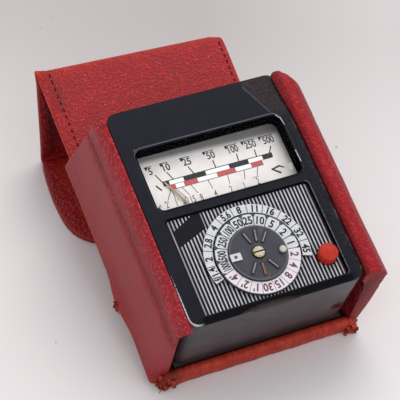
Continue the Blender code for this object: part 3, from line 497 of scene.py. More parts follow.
def stripe_look():
    """Fine silver lines on a dark plate, with a bare slanted patch near its far left corner."""
    look = Paint("striped_plate", (40, 38, 48), 0.46, 0.2, Specular_IOR_Level=0.12)
    place, x, y, _ = look.on_face()
    phase = look.math("FRACT", (x + 23.22) / stripe_pitch)
    line = look.spread(abs(phase - 0.5), 0.225, 0.155)
    inside = look.spread(edge_distance(look, x, y, stripe_box, 1.4), -0.15, -0.3)
    bare = look.spread(x * -0.49 + y, 41.7, 41.5) * look.spread(x * -0.39 + y, 33.8, 34.0)
    bare = bare * look.spread(x, -12.0, -12.2) * look.spread(x, -22.5, -22.3)
    dim = look.spread(x, -22.8, -19.6, 0.55, 1.0) * look.spread(x, 22.0, 23.2, 1.0, 0.5)
    amount = line * inside * (1.0 - bare) * dim
    worn = look.noise(place, 2.5, 4.0)
    silver = look.mix(look.spread(worn, 0.3, 0.7), (172, 170, 176), (200, 198, 201))
    rust = look.spread(x, 20.5, 24.0) * look.spread(worn, 0.48, 0.62)
    look.lay(look.mix(rust * 0.35, (18, 17, 24), (74, 52, 40)))
    look.coat(amount, silver)
    look.bump(amount, 0.05)
    look.bump(worn, 0.01)
    return look.made


def card_look():
    """Off-white card with a painted shadow towards its far edge, browner towards its right edge, darker
    towards its near edge, and a painted highlight spot near its right edge.
    """
    look = Paint("scale_paper", (226, 226, 220), 0.62)
    place, x, y, _ = look.on_face()
    cloud = look.noise(place, 3.0, 5.0, 0.65)
    look.lay(look.mix(look.spread(cloud, 0.3, 0.7), (219, 213, 209), (232, 226, 222)))
    # Painted shadow of the well's far wall.
    far_shade = cloud * 0.9 + (x * 0.04 + y)
    look.coat(look.spread(far_shade, 56.0, 58.2, 0.0, 0.92, smooth=True), (106, 105, 102))
    right = look.spread(cloud * 2.2 + x, 23.6, 26.6, 0.0, 0.85, smooth=True)
    look.coat(right * look.spread(y, 43.0, 49.0, 0.35, 1.0), (96, 84, 72))
    look.coat(look.spread(y, 41.2, 38.4, 0.0, 0.4, smooth=True), (150, 142, 130))
    # Painted highlight: a bright spot near the right edge.
    spill_highlight = segment_distance(look, x, y, (23.5, 42.7), (23.8, 43.9))
    look.coat(look.spread(cloud * 0.5 + spill_highlight, 0.95, 0.85), (254, 254, 252))
    look.bump(cloud, 0.02)
    return look.made


def disc_look():
    """The turning disc: painted highlights on its rib tops with painted shade beside them, a rusty stain, a
    painted highlight ring near its rim and a brown middle.
    """
    look = bakelite_look("black_disc", (54, 53, 62), 0.38, 0.14, 0.32)
    place, x, y, _ = look.on_face()
    fine = look.noise(place, 0.7, 4.0, 0.7)
    ribs = [[spot(dial, reach, angle) for reach in rib_reach] for angle in rib_angles]
    near = reduce(look.smaller, [segment_distance(look, x, y, *ends) for ends in ribs])
    # Painted shade beside the ribs.
    look.coat(look.spread(near, 1.0, 0.6, 0.0, 0.45), (20, 19, 24))
    # Painted highlights on the rib tops.
    look.coat(look.spread(near, 0.24, 0.12) * look.spread(fine, 0.3, 0.6, 0.4, 0.9), (158, 150, 150))
    stain = segment_distance(look, x, y, (-1.1, 11.2), (-0.7, 8.6))
    look.coat(look.spread(fine * 0.9 + stain, 1.7, 0.9, 0.0, 0.55), (104, 62, 48))
    away = look.away_from(dial, place)
    # Painted highlight: a faint ring near the rim.
    look.coat(look.spread(away, 8.55, 8.75) * look.spread(away, 9.05, 8.95) * 0.25, (150, 148, 152))
    look.coat(look.spread(away, 3.2, 2.2, 0.0, 0.6) * look.spread(fine, 0.35, 0.6), (72, 58, 48))
    return look.made


def screw_look():
    """The dial's screw: cream metal with its slot painted on as a dark line of painted shade."""
    look = Paint("cream_screw", (206, 190, 158), 0.42, 0.25)
    place, _, y, _ = look.on_face()
    stain = look.noise(place, 0.8, 4.0)
    look.lay(look.mix(look.spread(stain, 0.35, 0.7), (206, 194, 168), (172, 156, 128)))
    # Painted shade: the slot is a dark line.
    look.coat(look.spread(abs(y - dial[1]), 0.3, 0.22), (36, 26, 20))
    look.bump(stain, 0.01)
    return look.made


def button_look():
    """The red button with a faint ring moulded in its top."""
    look = Paint("red_button", (188, 44, 28), 0.42, Specular_IOR_Level=0.2)
    place = look.on_face()[0]
    cloud = look.noise(place, 1.6, 4.0)
    look.lay(look.mix(look.spread(cloud, 0.3, 0.7), (164, 36, 24), (190, 48, 30)))
    look.bump(look.spread(abs(look.away_from(button, place) - 1.75), 0.25, 0.05), 0.05)
    look.bump(cloud, 0.02)
    return look.made


def pane_look():
    """The window's clear pane, painted black as shade in the border that the bead covers."""
    look = Paint("window_pane", (255, 255, 255), 0.05, Transmission_Weight=1.0, IOR=1.08)
    place, x, y, _ = look.on_face()
    look.set("Roughness", look.spread(look.noise(place, 7.0, 4.0), 0.3, 0.7, 0.02, 0.08))
    # Painted shade: the border under the bead is black.
    border = edge_distance(look, x, y, window_box, window_round)
    look.lay(look.mix(look.spread(border, -0.46, -0.38), (255, 255, 255), (0, 0, 0)))
    return look.made


def link(name, mesh):
    made = bpy.data.objects.new(name, mesh)
    bpy.context.scene.collection.objects.link(made)
    return made


def solid(name, bm, look, body=None, sharp=40.0):
    """A piece from a mesh in millimetres of the meter frame, which this uses up."""
    bmesh.ops.recalc_face_normals(bm, faces=bm.faces)
    mesh = bpy.data.meshes.new(name)
    bm.to_mesh(mesh)
    bm.free()
    mesh.transform(METER)
    mesh.shade_smooth()
    mesh.set_sharp_from_angle(angle=math.radians(sharp))
    mesh.materials.append(look)
    made = link(name, mesh)
    if body:
        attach(made, body)
    return made


def loft(bm, loops, ends="capped"):
    """Closed loops of equal length, joined into a skin, with capped or joined ends."""
    rings = [[bm.verts.new(point) for point in loop] for loop in loops]
    count = len(rings[0])
    following = rings[1:] if ends == "capped" else rings[1:] + rings[:1]
    for near, far in zip(rings, following):
        for i in range(count):
            j = (i + 1) % count
            bm.faces.new((near[i], near[j], far[j], far[i]))
    if ends == "capped":
        bm.faces.new(rings[0])
        bm.faces.new(rings[-1])


def final_mesh(made):
    """A copy of the object's mesh as its modifiers or its curve give it."""
    graph = bpy.context.evaluated_depsgraph_get()
    graph.update()
    return bpy.data.meshes.new_from_object(made.evaluated_get(graph))


def skin(name, loops, look, ends="capped", sharp=50.0):
    """A piece from loops in the meter frame."""
    bm = bmesh.new()
    loft(bm, loops, ends)
    return solid(name, bm, look, sharp=sharp)


def dress(made, tone, place=None, unrolled=None):
    """Gives each point of a leather piece its place on the hide, its wear, its smoothness, which also lays a
    painted sheen, and its darkening, which is dirt in some places and painted shade in others.

    The tone is a function of the point, or of its unrolled place where those are given, and its normal.
    """
    mesh = made.data
    spots = mesh.attributes.new("place", "FLOAT_VECTOR", "POINT")
    tones = mesh.attributes.new("tone", "FLOAT_VECTOR", "POINT")
    for i, vertex in enumerate(mesh.vertices):
        point = Vector(unrolled[i]) if unrolled else TO_METER @ vertex.co
        normal = TO_METER.to_3x3() @ vertex.normal
        spots.data[i].vector = place(point) if place else point
        tones.data[i].vector = tone(point, normal.normalized())


def smoothed(points, steps):
    """A path through the points, rounded between them."""
    path = []
    last = len(points) - 1
    for i in range(last):
        knots = points[max(i - 1, 0)], points[i], points[i + 1], points[min(i + 2, last)]
        for t in (k / steps for k in range(steps)):
            path.append(tuple(
                0.5 * (2 * q + (r - p) * t + (2 * p - 5 * q + 4 * r - s) * t * t
                       + (3 * q - p - 3 * r + s) * t ** 3)
                for p, q, r, s in zip(*knots)
            ))
    path.append(points[-1])
    return path


def step(value, low, high):
    """0 below low, 1 above high and smooth between them."""
    share = min(max((value - low) / (high - low), 0.0), 1.0)
    return share * share * (3 - 2 * share)


def ripple(point, size, seed=0.0):
    """Smooth noise from -1 to 1 whose features are about size millimetres across."""
    return noise.noise(Vector(point) / size + Vector((seed, seed, seed)))


def wall_outline(wall):
    """The wall's cross-section, from the lip over the outside to the foot and back up inside."""
    side, bulge, lip = wall["side"], wall["bulge"], wall["lip"]
    points = [(wall_x + bulge * out, lip + (foot_z - lip) * down) for out, down in wall["shares"]]
    outer = []
    for x, z in resampled(smoothed(points, 8), 0.55):
        swell = 0.45 * math.exp(-((z - lip + 5.5) / 2.8) ** 2)
        groove = 0.4 * math.exp(-((z - groove_z) / 0.9) ** 2)
        outer.append((x + swell - groove, z))
    foot = outer[-1]
    turn = [(foot[0] - 0.35, foot[1] - 1.1), (foot[0] - 1.2, foot[1] - 1.95), (foot[0] - 2.6, bottom_z + 0.1),
            (foot[0] - 4.6, bottom_z + 0.1)]
    inner = [(wall_x + 0.05, bottom_z + 0.4)]
    steps = 22
    top = points[0][1] - 1.6
    inner += [(wall_x + 0.05, foot_z + (top - foot_z) * i / steps) for i in range(steps + 1)]
    inner += [(wall_x + 0.02, points[0][1] - 0.7)]
    return [(side * x, z) for x, z in outer + turn + inner]


def resampled(path, pitch):
    """The same path with points about a pitch apart."""
    made = [path[0]]
    for point in path[1:-1]:
        if math.dist(point, made[-1]) >= pitch:
            made.append(point)
    return made + [path[-1]]


def wall_near_y(z):
    """Where a wall's near end is at a height."""
    return wall_near - 0.3 + wall_lead * min(z, 0.0) / face_depth


def build_wall(name, wall, look, tone):
    """One side wall with its lip, cut at the near end and at the far end."""
    # Places along the wall: a share of its middle stretch, and an offset in or out at its ends
    places = [(0.0, depth - wall_ends[-1]) for depth in wall_ends]
    places += [(i / wall_middle, 0.0) for i in range(1, wall_middle)]
    places += [(1.0, wall_ends[-1] - depth) for depth in reversed(wall_ends)]
    outline = wall_outline(wall)
    loops = []
    for share, offset in places:
        loop = []
        for x, z in outline:
            in_lip = step(z, -8.5, -6.5)
            start = wall_near_y(z) - wall["ahead"] - wall["tip"] * step(z, -5.0, -2.2)
            end = wall_far + wall_lead * max(-z, 0.0) / face_depth
            y = start + wall_ends[-1] + (end - start - 2 * wall_ends[-1]) * share + offset
            near_round = 0.9 + (wall["near_round"] - 0.9) * step(-z, 9.0, 14.0) * (1 - step(-z, 29.0, 33.0))
            pull = rounding(y - start, near_round) + rounding(end - y, wall["far_round"])
            reach = abs(x) - wall_x
            moved = wall_x + max(reach * (1 - pull / 9.0), min(reach, 0.05))
            point = (moved, y, z)
            wave = 0.16 * ripple(point, 11.0, 3.0) + 0.07 * ripple(point, 3.0, 8.0)
            outward = 1.0 if reach > 1.2 else 0.0
            foot = step(-z, 26.0, 32.5) * outward
            flare = wall["flare"] * math.exp(-((y - wall["flare_y"]) / 7.0) ** 2) * foot
            flare += wall["wide_near"] * math.exp(-(max(y, 0.0) / 14.0) ** 2) * step(reach, 1.0, 4.0)
            over = step(z, 1.02, 1.3) * wall["lean"] * step(y, wall_far - 22.0, wall_far - 2.0)
            over *= 1.0 - 1.1 * step(2.6 - (end - y), 0.0, 2.6)
            hug = in_lip * step(0.6 - y, 0.0, 1.6) * (1.0 - outward)
            opening = wall["open"] * step(6.0 - y, 0.0, 6.0) * step(-z, 1.5, 5.0)
            hug -= opening * (1.0 - step(reach, 0.5, 3.0))
            drop = 0.3 * pull if z > wall["lip"] - 6.0 else 0.0
            loop.append((wall["side"] * (moved + wave * outward + flare - over - hug), y, z - drop))
        loops.append(loop)
    made = skin(name, loops, look)
    bevel(made, 0.7, 3, 50.0)
    dress_after(made, tone)
    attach(made, "case_and_meter")
    return made


def rounding(distance, radius):
    """How far a corner of that radius draws the side in, at a distance from the end."""
    if distance >= radius:
        return 0.0
    return radius - math.sqrt(max(radius ** 2 - (radius - distance) ** 2, 0.0))


def bevel(made, width, segments, angle):
    """Rounds the edges that are sharper than the angle in degrees, by a width in millimetres."""
    modifier = made.modifiers.new("rounded_edges", "BEVEL")
    modifier.width = width * mm
    modifier.segments = segments
    modifier.limit_method = "ANGLE"
    modifier.angle_limit = math.radians(angle)
    modifier.use_clamp_overlap = True


def dress_after(made, tone):
    """Applies the piece's modifiers, so that each point of its final mesh gets its tone."""
    mesh = final_mesh(made)
    made.modifiers.clear()
    made.data = mesh
    mesh.shade_smooth()
    mesh.set_sharp_from_angle(angle=math.radians(60.0))
    dress(made, tone)


def side_path():
    """The lid's inner face in the side plane: corner points (y, z) in the meter frame."""
    ridge = TO_METER @ Vector(joints["ridge_crease"]["pos_m"])
    foot = TO_METER @ Vector(joints["tongue_crease"]["pos_m"])
    down = Vector((math.cos(tilt), math.sin(tilt)))
    return (ridge.y, ridge.z), (foot.y, foot.z), (-down[0], down[1])


def rounded_corner(before, corner, after, radius, steps=8):
    """Points of an arc that touches both lines at the corner."""
    before, corner, after = Vector(before), Vector(corner), Vector(after)
    a = (before - corner).normalized()
    b = (after - corner).normalized()
    half = a.angle(b) / 2
    reach = radius / math.tan(half)
    centre = corner + (a + b).normalized() * radius / math.sin(half)
    first, last = corner + a * reach - centre, corner + b * reach - centre
    turn = first.angle(last)
    turned = [turn * i / steps for i in range(steps + 1)]
    return [centre + (first * math.sin(turn - part) + last * math.sin(part)) / math.sin(turn)
            for part in turned]


def edge_profile(half, thickness, edge=0.8):
    """A strap's cross-section as (x, depth): flat faces with rounded edges, depth below the inner face."""
    points = []
    corners = ((half, 0.0, 90.0), (half, thickness, 0.0), (-half, thickness, -90.0), (-half, 0.0, 180.0))
    for x, depth, start in corners:
        sx = 1.0 if x > 0 else -1.0
        sd = 1.0 if depth == 0.0 else -1.0
        for i in range(4):
            angle = math.radians(start - 90.0 * i / 3)
            points.append((x + edge * (math.cos(angle) - sx), depth + edge * (sd - math.sin(angle))))
    return points


def strap(name, path, halves, look, tone, bends=()):
    """A leather strip along a path of (y, z) in the side plane, whose left side is its inner face.

    It is thinner at its bends, each given as the corner where the two straight parts would meet, and
    drawn askew near the ridge as lid_warp says.
    """
    cross = 20
    loops = []
    places = []
    travelled = 0.0
    path = [Vector(point) for point in path]
    for i, point in enumerate(path):
        before = path[max(i - 1, 0)]
        along = (path[min(i + 1, len(path) - 1)] - before).normalized()
        inner = Vector((-along.y, along.x))
        travelled += (point - before).length
        thin = max((1 - step((point - Vector(bend)).length, 1.5, 6.0) for bend in bends), default=0.0)
        profile = edge_profile(halves[i], leather - 1.0 * thin, 0.8 - 0.3 * thin)
        filled = []
        for j, (x, depth) in enumerate(profile):
            filled.append((x, depth))
            if j in (7, 15):
                x2, d2 = profile[(j + 1) % len(profile)]
                for k in range(1, cross):
                    filled.append((x + (x2 - x) * k / cross, depth + (d2 - depth) * k / cross))
        loops.append([lid_warp((lid_centre + x, *(point - inner * depth))) for x, depth in filled])
        places += [(x, travelled, depth) for x, depth in filled]
    made = skin(name, loops, look)
    dress(made, tone, unrolled=places)
    return made


def lid_warp(point):
    """The worn lid's set: its ridge is askew, its right side wider, one corner rounded and one curled up."""
    x, y, z = point
    ridge = side_path()[0]
    away = math.dist((y, z), ridge)
    near_ridge = 1 - step(away, 0.0, 34.0)
    share = (x - lid_centre) / lid_half
    wider = 1.4 * step(x, 24.0, 31.4) * step(y, hinge_y - 1.0, hinge_y + 3.0) * (0.35 + 0.65 * near_ridge)
    corner = (1 - step(away, 0.0, 5.0))
    round_off = 1.5 * step(x, 28.5, 31.6) ** 2 * corner
    ear = step(-x, 30.6, 33.4) * corner
    return (x + wider - 0.5 * ear - 0.35 * round_off, y - 1.25 * share * near_ridge - round_off + 0.5 * ear,
            z + 0.9 * ear)


def spaced(start, end, pitch):
    """Points from start to end, about pitch apart, without the end."""
    start, end = Vector(start), Vector(end)
    count = max(int((end - start).length / pitch), 1)
    return [start + (end - start) * i / count for i in range(count)]


def off_corner(corner, towards, reach):
    """The place in the world, midway across the lid, that far from a bend's corner towards a point."""
    return METER @ Vector((0, *(corner + (towards - corner).normalized() * reach)))


def side_band(place):
    """The dark line along the lid's left side."""
    return math.exp(-((place.x + lid_half - 3.8) / 0.9) ** 2)


def build_lid(looks):
    """The floor and lid as three straps; the end and front straps are rounded and thinned at their creases.
    """
    ridge, foot, along_table = (Vector(value) for value in side_path())
    hinge = Vector((hinge_y, floor_z))
    middle = Vector((hinge_y + end_panel_length / 2, floor_z))
    front_middle = (ridge + foot) / 2
    tip = foot + along_table * tongue_length
    crease_reach = 2.2
    bend_reach = 5.0

    def floor_tone(place, _):
        edge = step(abs(place.x), lid_half - 2.5, lid_half)
        return 0.25 * edge, 0.0, 0.0

    floor_path = spaced((-0.2, floor_z), (floor_far - 1.2, floor_z), 4.0)
    floor_path += spaced((floor_far - 1.2, floor_z), (hinge_y + 4.0, floor_z), 0.7)
    floor_path += spaced((hinge_y + 4.0, floor_z), middle, 3.0) + [middle]
    halves = [lid_half + (floor_half - lid_half) * (1 - step(point.x, floor_far - 0.6, floor_far + 0.6))
              for point in floor_path]
    floor = strap("case_floor_leather", floor_path, halves, looks["leather"], floor_tone)
    off_corner(hinge, floor_path[0], crease_reach)
    off_corner(hinge, middle, crease_reach)
    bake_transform(floor)
    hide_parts("case_bottom_leather")

    def ridge_tone(place, _):
        over = place.y - end_panel_length / 2
        corner = step(-place.x, lid_half - 4.5, lid_half - 0.4) * step(over, -5.0, -1.0)
        corner *= step(6.0 - over, 1.0, 5.0)
        edge = step(abs(place.x), lid_half - 0.7, lid_half)
        ridge_wear = math.exp(-((over + 0.8) / 2.6) ** 2) * 0.45
        # Painted shade: the front panel beyond the ridge is darkened.
        behind = step(over, 1.8, 4.0)
        stitched = max(math.exp(-((place.x - x) / 0.5) ** 2) for x in stitch_lines) * (1 - behind)
        darkening = max(0.36 * behind, 0.9 * side_band(place) * behind, 0.4 * stitched)
        return min(corner * 1.1 + 0.3 * edge + ridge_wear, 1.0), 0.0, darkening

    corner = rounded_corner(middle, ridge, front_middle, 1.7)
    ridge_path = spaced(middle, corner[0], 2.5) + corner + spaced(corner[-1], front_middle, 3.0)[1:]
    ridge_path.append(front_middle)
    halves = [lid_half] * len(ridge_path)
    top = strap("lid_end_leather", ridge_path, halves, looks["leather"], ridge_tone, [ridge])
    off_corner(ridge, middle, bend_reach)
    off_corner(ridge, front_middle, bend_reach)
    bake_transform(top)
    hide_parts("flap_end_lining", "flap_end_leather")

    def tongue_tone(place, _):
        over = place.y - half_front
        band = side_band(place) * (1 - step(over, -4.0, 0.0))
        edge = step(abs(place.x) / max(tongue_width(over), 1.0), 0.93, 0.995)
        stripe = math.exp(-((place.x + 26.5) / 1.6) ** 2) * step(over, 1.0, 5.0)
        # Painted shade: the front panel and the tongue are darkened, the front panel more; their edges are
        # darker too.
        return 0.1 + 0.6 * stripe, 0.0, max(0.45 * edge, 0.36 - 0.11 * step(over, -3.0, 1.0), 0.9 * band)

    half_front = (foot - ridge).length / 2
    corner = rounded_corner(front_middle, foot, tip, 2.2)
    start = spaced(front_middle, corner[0], 3.0) + corner
    bent = (corner[-1] - foot).length
    steps = 22
    rest = [foot + along_table * (bent + (tongue_length - bent - 0.3) * math.sin(i / steps * math.pi / 2))
            for i in range(1, steps + 1)]
    halves = [lid_half] * len(start) + [tongue_width((point - foot).length) for point in rest]
    tongue = strap("lid_front_leather", start + rest, halves, looks["leather"], tongue_tone, [foot])
    off_corner(foot, front_middle, bend_reach)
    off_corner(foot, tip, bend_reach)
    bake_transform(tongue)
    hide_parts("flap_front_lining", "flap_front_leather", "flap_tongue_lining",
                "flap_tongue_leather")


def tongue_width(distance):
    """Half the tongue's width at a distance from its crease."""
    if distance <= tongue_swell:
        swell = math.sin(math.pi / 2 * max(distance, 0.0) / tongue_swell)
        return lid_half + (tongue_half - lid_half) * swell
    share = min((distance - tongue_swell) / (tongue_length - tongue_swell), 1.0)
    return max(tongue_half * (1 - share ** tongue_round) ** (1 / tongue_round), 4.0)


def build_stitches(looks):
    """Sunk stitches along both sides of the end panel."""
    bm = bmesh.new()
    for x, first in ((stitch_lines[0], 80.0), (stitch_lines[1], 84.0)):
        y = first
        while y < hinge_y + end_panel_length - 3.4:
            start = lid_warp((lid_centre + x, y - stitch_half, floor_z - 0.02))
            end = lid_warp((lid_centre + x + 0.06, y + stitch_half, floor_z - 0.02))
            capsule(bm, start, end, stitch_radius)
            y += stitch_pitch
    solid("lid_stitches", bm, looks["thread"], "end_panel")


def full_turn(steps):
    return [2 * math.pi * i / steps for i in range(steps)]


def capsule(bm, start, end, radius, sides=8):
    """A rod with rounded ends."""
    start, end = Vector(start), Vector(end)
    along = end - start
    turn = along.to_track_quat("Z", "Y").to_matrix().to_4x4()
    rings = []
    for share, width in ((0.0, 0.35), (0.12, 0.8), (0.3, 1.0), (0.7, 1.0), (0.88, 0.8), (1.0, 0.35)):
        reach, up = radius * width, along.length * share
        rings.append([start + turn @ Vector((reach * math.cos(angle), reach * math.sin(angle), up))
                      for angle in full_turn(sides)])
    loft(bm, rings)


def build_strip(looks):
    """The rolled strip along the near edge, with ragged ends."""
    loops = []
    count = 70
    left, right = strip_ends
    for i in range(count + 1):
        share = i / count
        x = left + (right - left) * share
        ends = min(step(share, 0.0, 0.03), step(1 - share, 0.0, 0.03))
        low, high = bottom_z + 0.15, -28.9 + 0.35 * ripple((x, 0, 0), 3.0, 2.0) - 1.2 * (1 - ends)
        near, far = -4.0 - 0.25 * ripple((x, 0, 0), 5.0, 5.0) * ends, -0.6
        loop = []
        for out, up in strip_section:
            y = near + (far - near) * (0.5 + (out - 0.5) * (0.55 + 0.45 * ends))
            z = low + (high - low) * (0.45 + (up - 0.45) * (0.6 + 0.4 * ends))
            loop.append((x, y + 0.12 * ripple((x, y, z), 1.3, 4.0), z + 0.1 * ripple((x, y, z), 1.1, 7.0)))
        loops.append(loop)
    made = skin("near_strip", loops, looks["worn_leather"], sharp=60.0)

    def tone(point, _):
        end = step(abs(point.x), 29.0, 33.5)
        patch = math.exp(-((point.x + 30.0) / 3.0) ** 2) * step(point.z, -32.5, -30.5)
        top = step(point.z + 0.5 * ripple(point, 1.4, 2.0), -30.6, -29.4)
        darkening = 0.6 * patch + 0.35 * end * step(point.z, -33.0, -31.0)
        return 0.6 + 0.3 * end + 0.1 * top, 0.0, min(darkening, 1.0)

    dress(made, tone, lambda point: Vector((2.0 * point.x, 0.5 * point.y, 0.5 * (point.z + point.x))))
    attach(made, "case_and_meter")
    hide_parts("near_edge_welt")


def curl(start, direction, length, turns, radius, rng, steps=14):
    """A curly thread that leaves start along direction."""
    direction = Vector(direction).normalized()
    side = direction.orthogonal().normalized()
    other = direction.cross(side)
    phase = rng.uniform(0, 6.28)
    points = []
    for i in range(steps + 1):
        share = i / steps
        angle = phase + 2 * math.pi * turns * share
        around = (side * math.cos(angle) + other * math.sin(angle)) * radius * share
        points.append(Vector(start) + direction * length * share + around)
    return points


def threads(name, paths, radius, look, body):
    """Thin threads along paths, as one piece."""
    curve = bpy.data.curves.new(name, "CURVE")
    curve.dimensions = "3D"
    curve.bevel_depth = radius * mm
    curve.bevel_resolution = 1
    curve.use_fill_caps = True
    for path in paths:
        spline = curve.splines.new("POLY")
        spline.points.add(len(path) - 1)
        for knot, point in zip(spline.points, path):
            knot.co = (*(METER @ Vector(point)), 1.0)
    made = link(name + "_curve", curve)
    mesh = final_mesh(made)
    bpy.data.objects.remove(made)
    mesh.materials.append(look)
    mesh.shade_smooth()
    made = link(name, mesh)
    dress(made, lambda point, _: (0.7 + 0.3 * ripple(point, 1.0), 0.0, 0.25 + 0.4 * ripple(point, 1.5, 9.0)))
    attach(made, body)


def shred(bm, start, direction, length, width, rng):
    """A torn, bent scrap of leather."""
    direction = Vector(direction).normalized()
    side = direction.cross(Vector((rng.uniform(-0.4, 0.4), rng.uniform(-0.4, 0.4), 1.0))).normalized()
    up = side.cross(direction)
    bend = rng.uniform(-0.5, 0.5)
    twist = rng.uniform(-0.7, 0.7)
    steps = 5
    loops = []
    for i in range(steps + 1):
        share = i / steps
        turned = math.cos(twist * share) * side + math.sin(twist * share) * up
        flat = turned.cross(direction)
        middle = Vector(start) + direction * length * share + up * bend * length * share * share
        half = width / 2 * (1.0 - 0.55 * share ** 2) + rng.uniform(-0.12, 0.12) * width
        thick = 0.24 * (1.0 - 0.6 * share)
        corners = ((1, 0.6), (0.6, 1), (-0.6, 1), (-1, 0.6), (-1, -0.6), (-0.6, -1), (0.6, -1), (1, -0.6))
        loops.append([lifted(middle + turned * half * a + flat * thick * b) for a, b in corners])
    loft(bm, loops)


def build_frays(looks):
    """Torn scraps and threads where the strip's ends meet the walls, and a tuft on the left wall's foot."""
    rng = random.Random(4)
    places = (
        ("near_left_fray", (-34.0, -29.4), (-4.3, -1.5), (-34.6, -29.6), -0.5, 84, 5),
        ("near_right_fray", (29.4, 33.6), (-4.6, -2.3), (-34.6, -31.0), 0.7, 56, 5),
        ("left_foot_tuft", (-37.5, -36.9), (24.2, 27.0), (-34.0, -31.4), -0.3, 16, 4),
    )
    for name, across, along, out, side, scraps, hairs in places:
        bm = bmesh.new()
        reach = 1.0 if scraps > 20 else 0.8
        for _ in range(scraps):
            start = (rng.uniform(*across), rng.uniform(*along), rng.uniform(*out))
            direction = (side * rng.uniform(-0.5, 1.0), rng.uniform(-1.0, 0.2), rng.uniform(-0.6, 0.6))
            shred(bm, start, direction, reach * rng.uniform(0.7, 1.5), rng.uniform(0.9, 1.8), rng)
        made = solid(name, bm, looks["worn_leather"], "case_and_meter", 50.0)
        dress(made, scrap_tone)
        paths = []
        for _ in range(hairs):
            start = (rng.uniform(*across), rng.uniform(*along), rng.uniform(*out))
            direction = (side * rng.uniform(0.1, 1.0), rng.uniform(-0.9, 0.2), rng.uniform(-0.5, 0.35))
            paths.append(curl(start, direction, reach * rng.uniform(0.9, 2.3), rng.uniform(0.3, 1.0),
                              rng.uniform(0.1, 0.5), rng))
        paths = [[lifted(point) for point in path] for path in paths]
        threads(name + "_threads", paths, 0.12, looks["worn_leather"], "case_and_meter")


def scrap_tone(point, _):
    """Scraps are orange where torn and dark brown in patches."""
    dark = step(ripple(point, 1.1, 5.0), -0.12, 0.12)
    return 1.0 - 0.3 * dark, 0.0, 0.8 * dark


def lifted(point):
    """The point, raised where it would go under the table."""
    world = METER @ Vector(point)
    world.z = max(world.z, table_gap)
    return TO_METER @ world


def build_end_ring(looks):
    """The dark red ring pressed into the tub's near end, round its screw."""
    low, high = (TO_METER @ Vector(corner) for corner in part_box("near_end_screw"))
    middle = (low + high) / 2
    radius, thick = 1.6, 0.5
    loops = []
    for turn in full_turn(28):
        loop = []
        for around in full_turn(10):
            reach = radius + thick * math.cos(around)
            out = 0.1 - thick * math.sin(around)
            loop.append((middle.x + reach * math.cos(turn), out, middle.z + reach * math.sin(turn)))
        loops.append(loop)
    bm = bmesh.new()
    loft(bm, loops, "joined")
    solid("near_end_ring", bm, looks["ring"], "case_and_meter", 60.0)


def rounded_box(box, radius, z, steps=7):
    """A loop round a rectangle with rounded corners. The box is its two corners."""
    left, near, right, far = box
    corners = ((right, far, 0.0), (left, far, 90.0), (left, near, 180.0), (right, near, 270.0))
    loop = []
    for x, y, start in corners:
        cx = x - math.copysign(radius, x)
        cy = y - radius if y == far else y + radius
        for i in range(steps + 1):
            turn = math.radians(start + 90.0 * i / steps)
            loop.append((cx + radius * math.cos(turn), cy + radius * math.sin(turn), z))
    return loop


def between(a, b, share):
    return tuple(p + (q - p) * share for p, q in zip(a, b))


def build_window_frame(looks):
    """The bead that holds the window pane, and a liner between the pane and the card, matt black as painted
    shade of the well.
    """
    hole = tuple(edge + (0.05 if i > 1 else -0.05) for i, edge in enumerate(window_box))
    section = ((bead_outer, 0.94), (between(bead_outer, bead_inner, 0.2), 1.13),
               (between(bead_outer, bead_inner, 0.5), 1.2), (between(bead_outer, bead_inner, 0.82), 1.13),
               (bead_inner, 0.96), (bead_inner, 0.53), (hole, 0.53), (hole, 0.9))
    bm = bmesh.new()
    loft(bm, [rounded_box(box, bead_round, z) for box, z in section], "joined")
    solid("window_bead", bm, looks["bead"], "case_and_meter", 60.0)
    # Painted shade: a black liner in the well.
    inner = between(bead_inner, window_box, 0.12)
    section = ((inner, -0.34), (inner, -4.86), (hole, -4.86), (hole, -0.34))
    bm = bmesh.new()
    loft(bm, [rounded_box(box, bead_round, z) for box, z in section], "joined")
    solid("window_liner", bm, looks["matt_black"], "case_and_meter", 40.0)


def build_lens_domes(looks):
    """Rows of small domes moulded on the outside of the cell's lens."""
    places = [TO_METER @ vertex.co for vertex in nodes["cell_lens"].data.vertices]
    left, right = min(p.x for p in places) + dome_border, max(p.x for p in places) - dome_border
    low, high = min(p.z for p in places) + dome_border, max(p.z for p in places) - dome_border
    face = max(p.y for p in places)
    across = max(round((right - left) / dome_pitch[0]), 1)
    rows = max(round((high - low) / dome_pitch[1]), 1)
    bm = bmesh.new()
    for row in range(rows + 1):
        odd = row % 2
        for i in range(across + 1 - odd):
            x = left + (right - left) * (i + 0.5 * odd) / across
            z = low + (high - low) * row / rows
            loft(bm, [[(x + reach * math.cos(turn), face + out, z + reach * math.sin(turn))
                       for turn in full_turn(14)] for reach, out in dome_section])
    solid("lens_domes", bm, looks["lens"], "case_and_meter", 50.0)


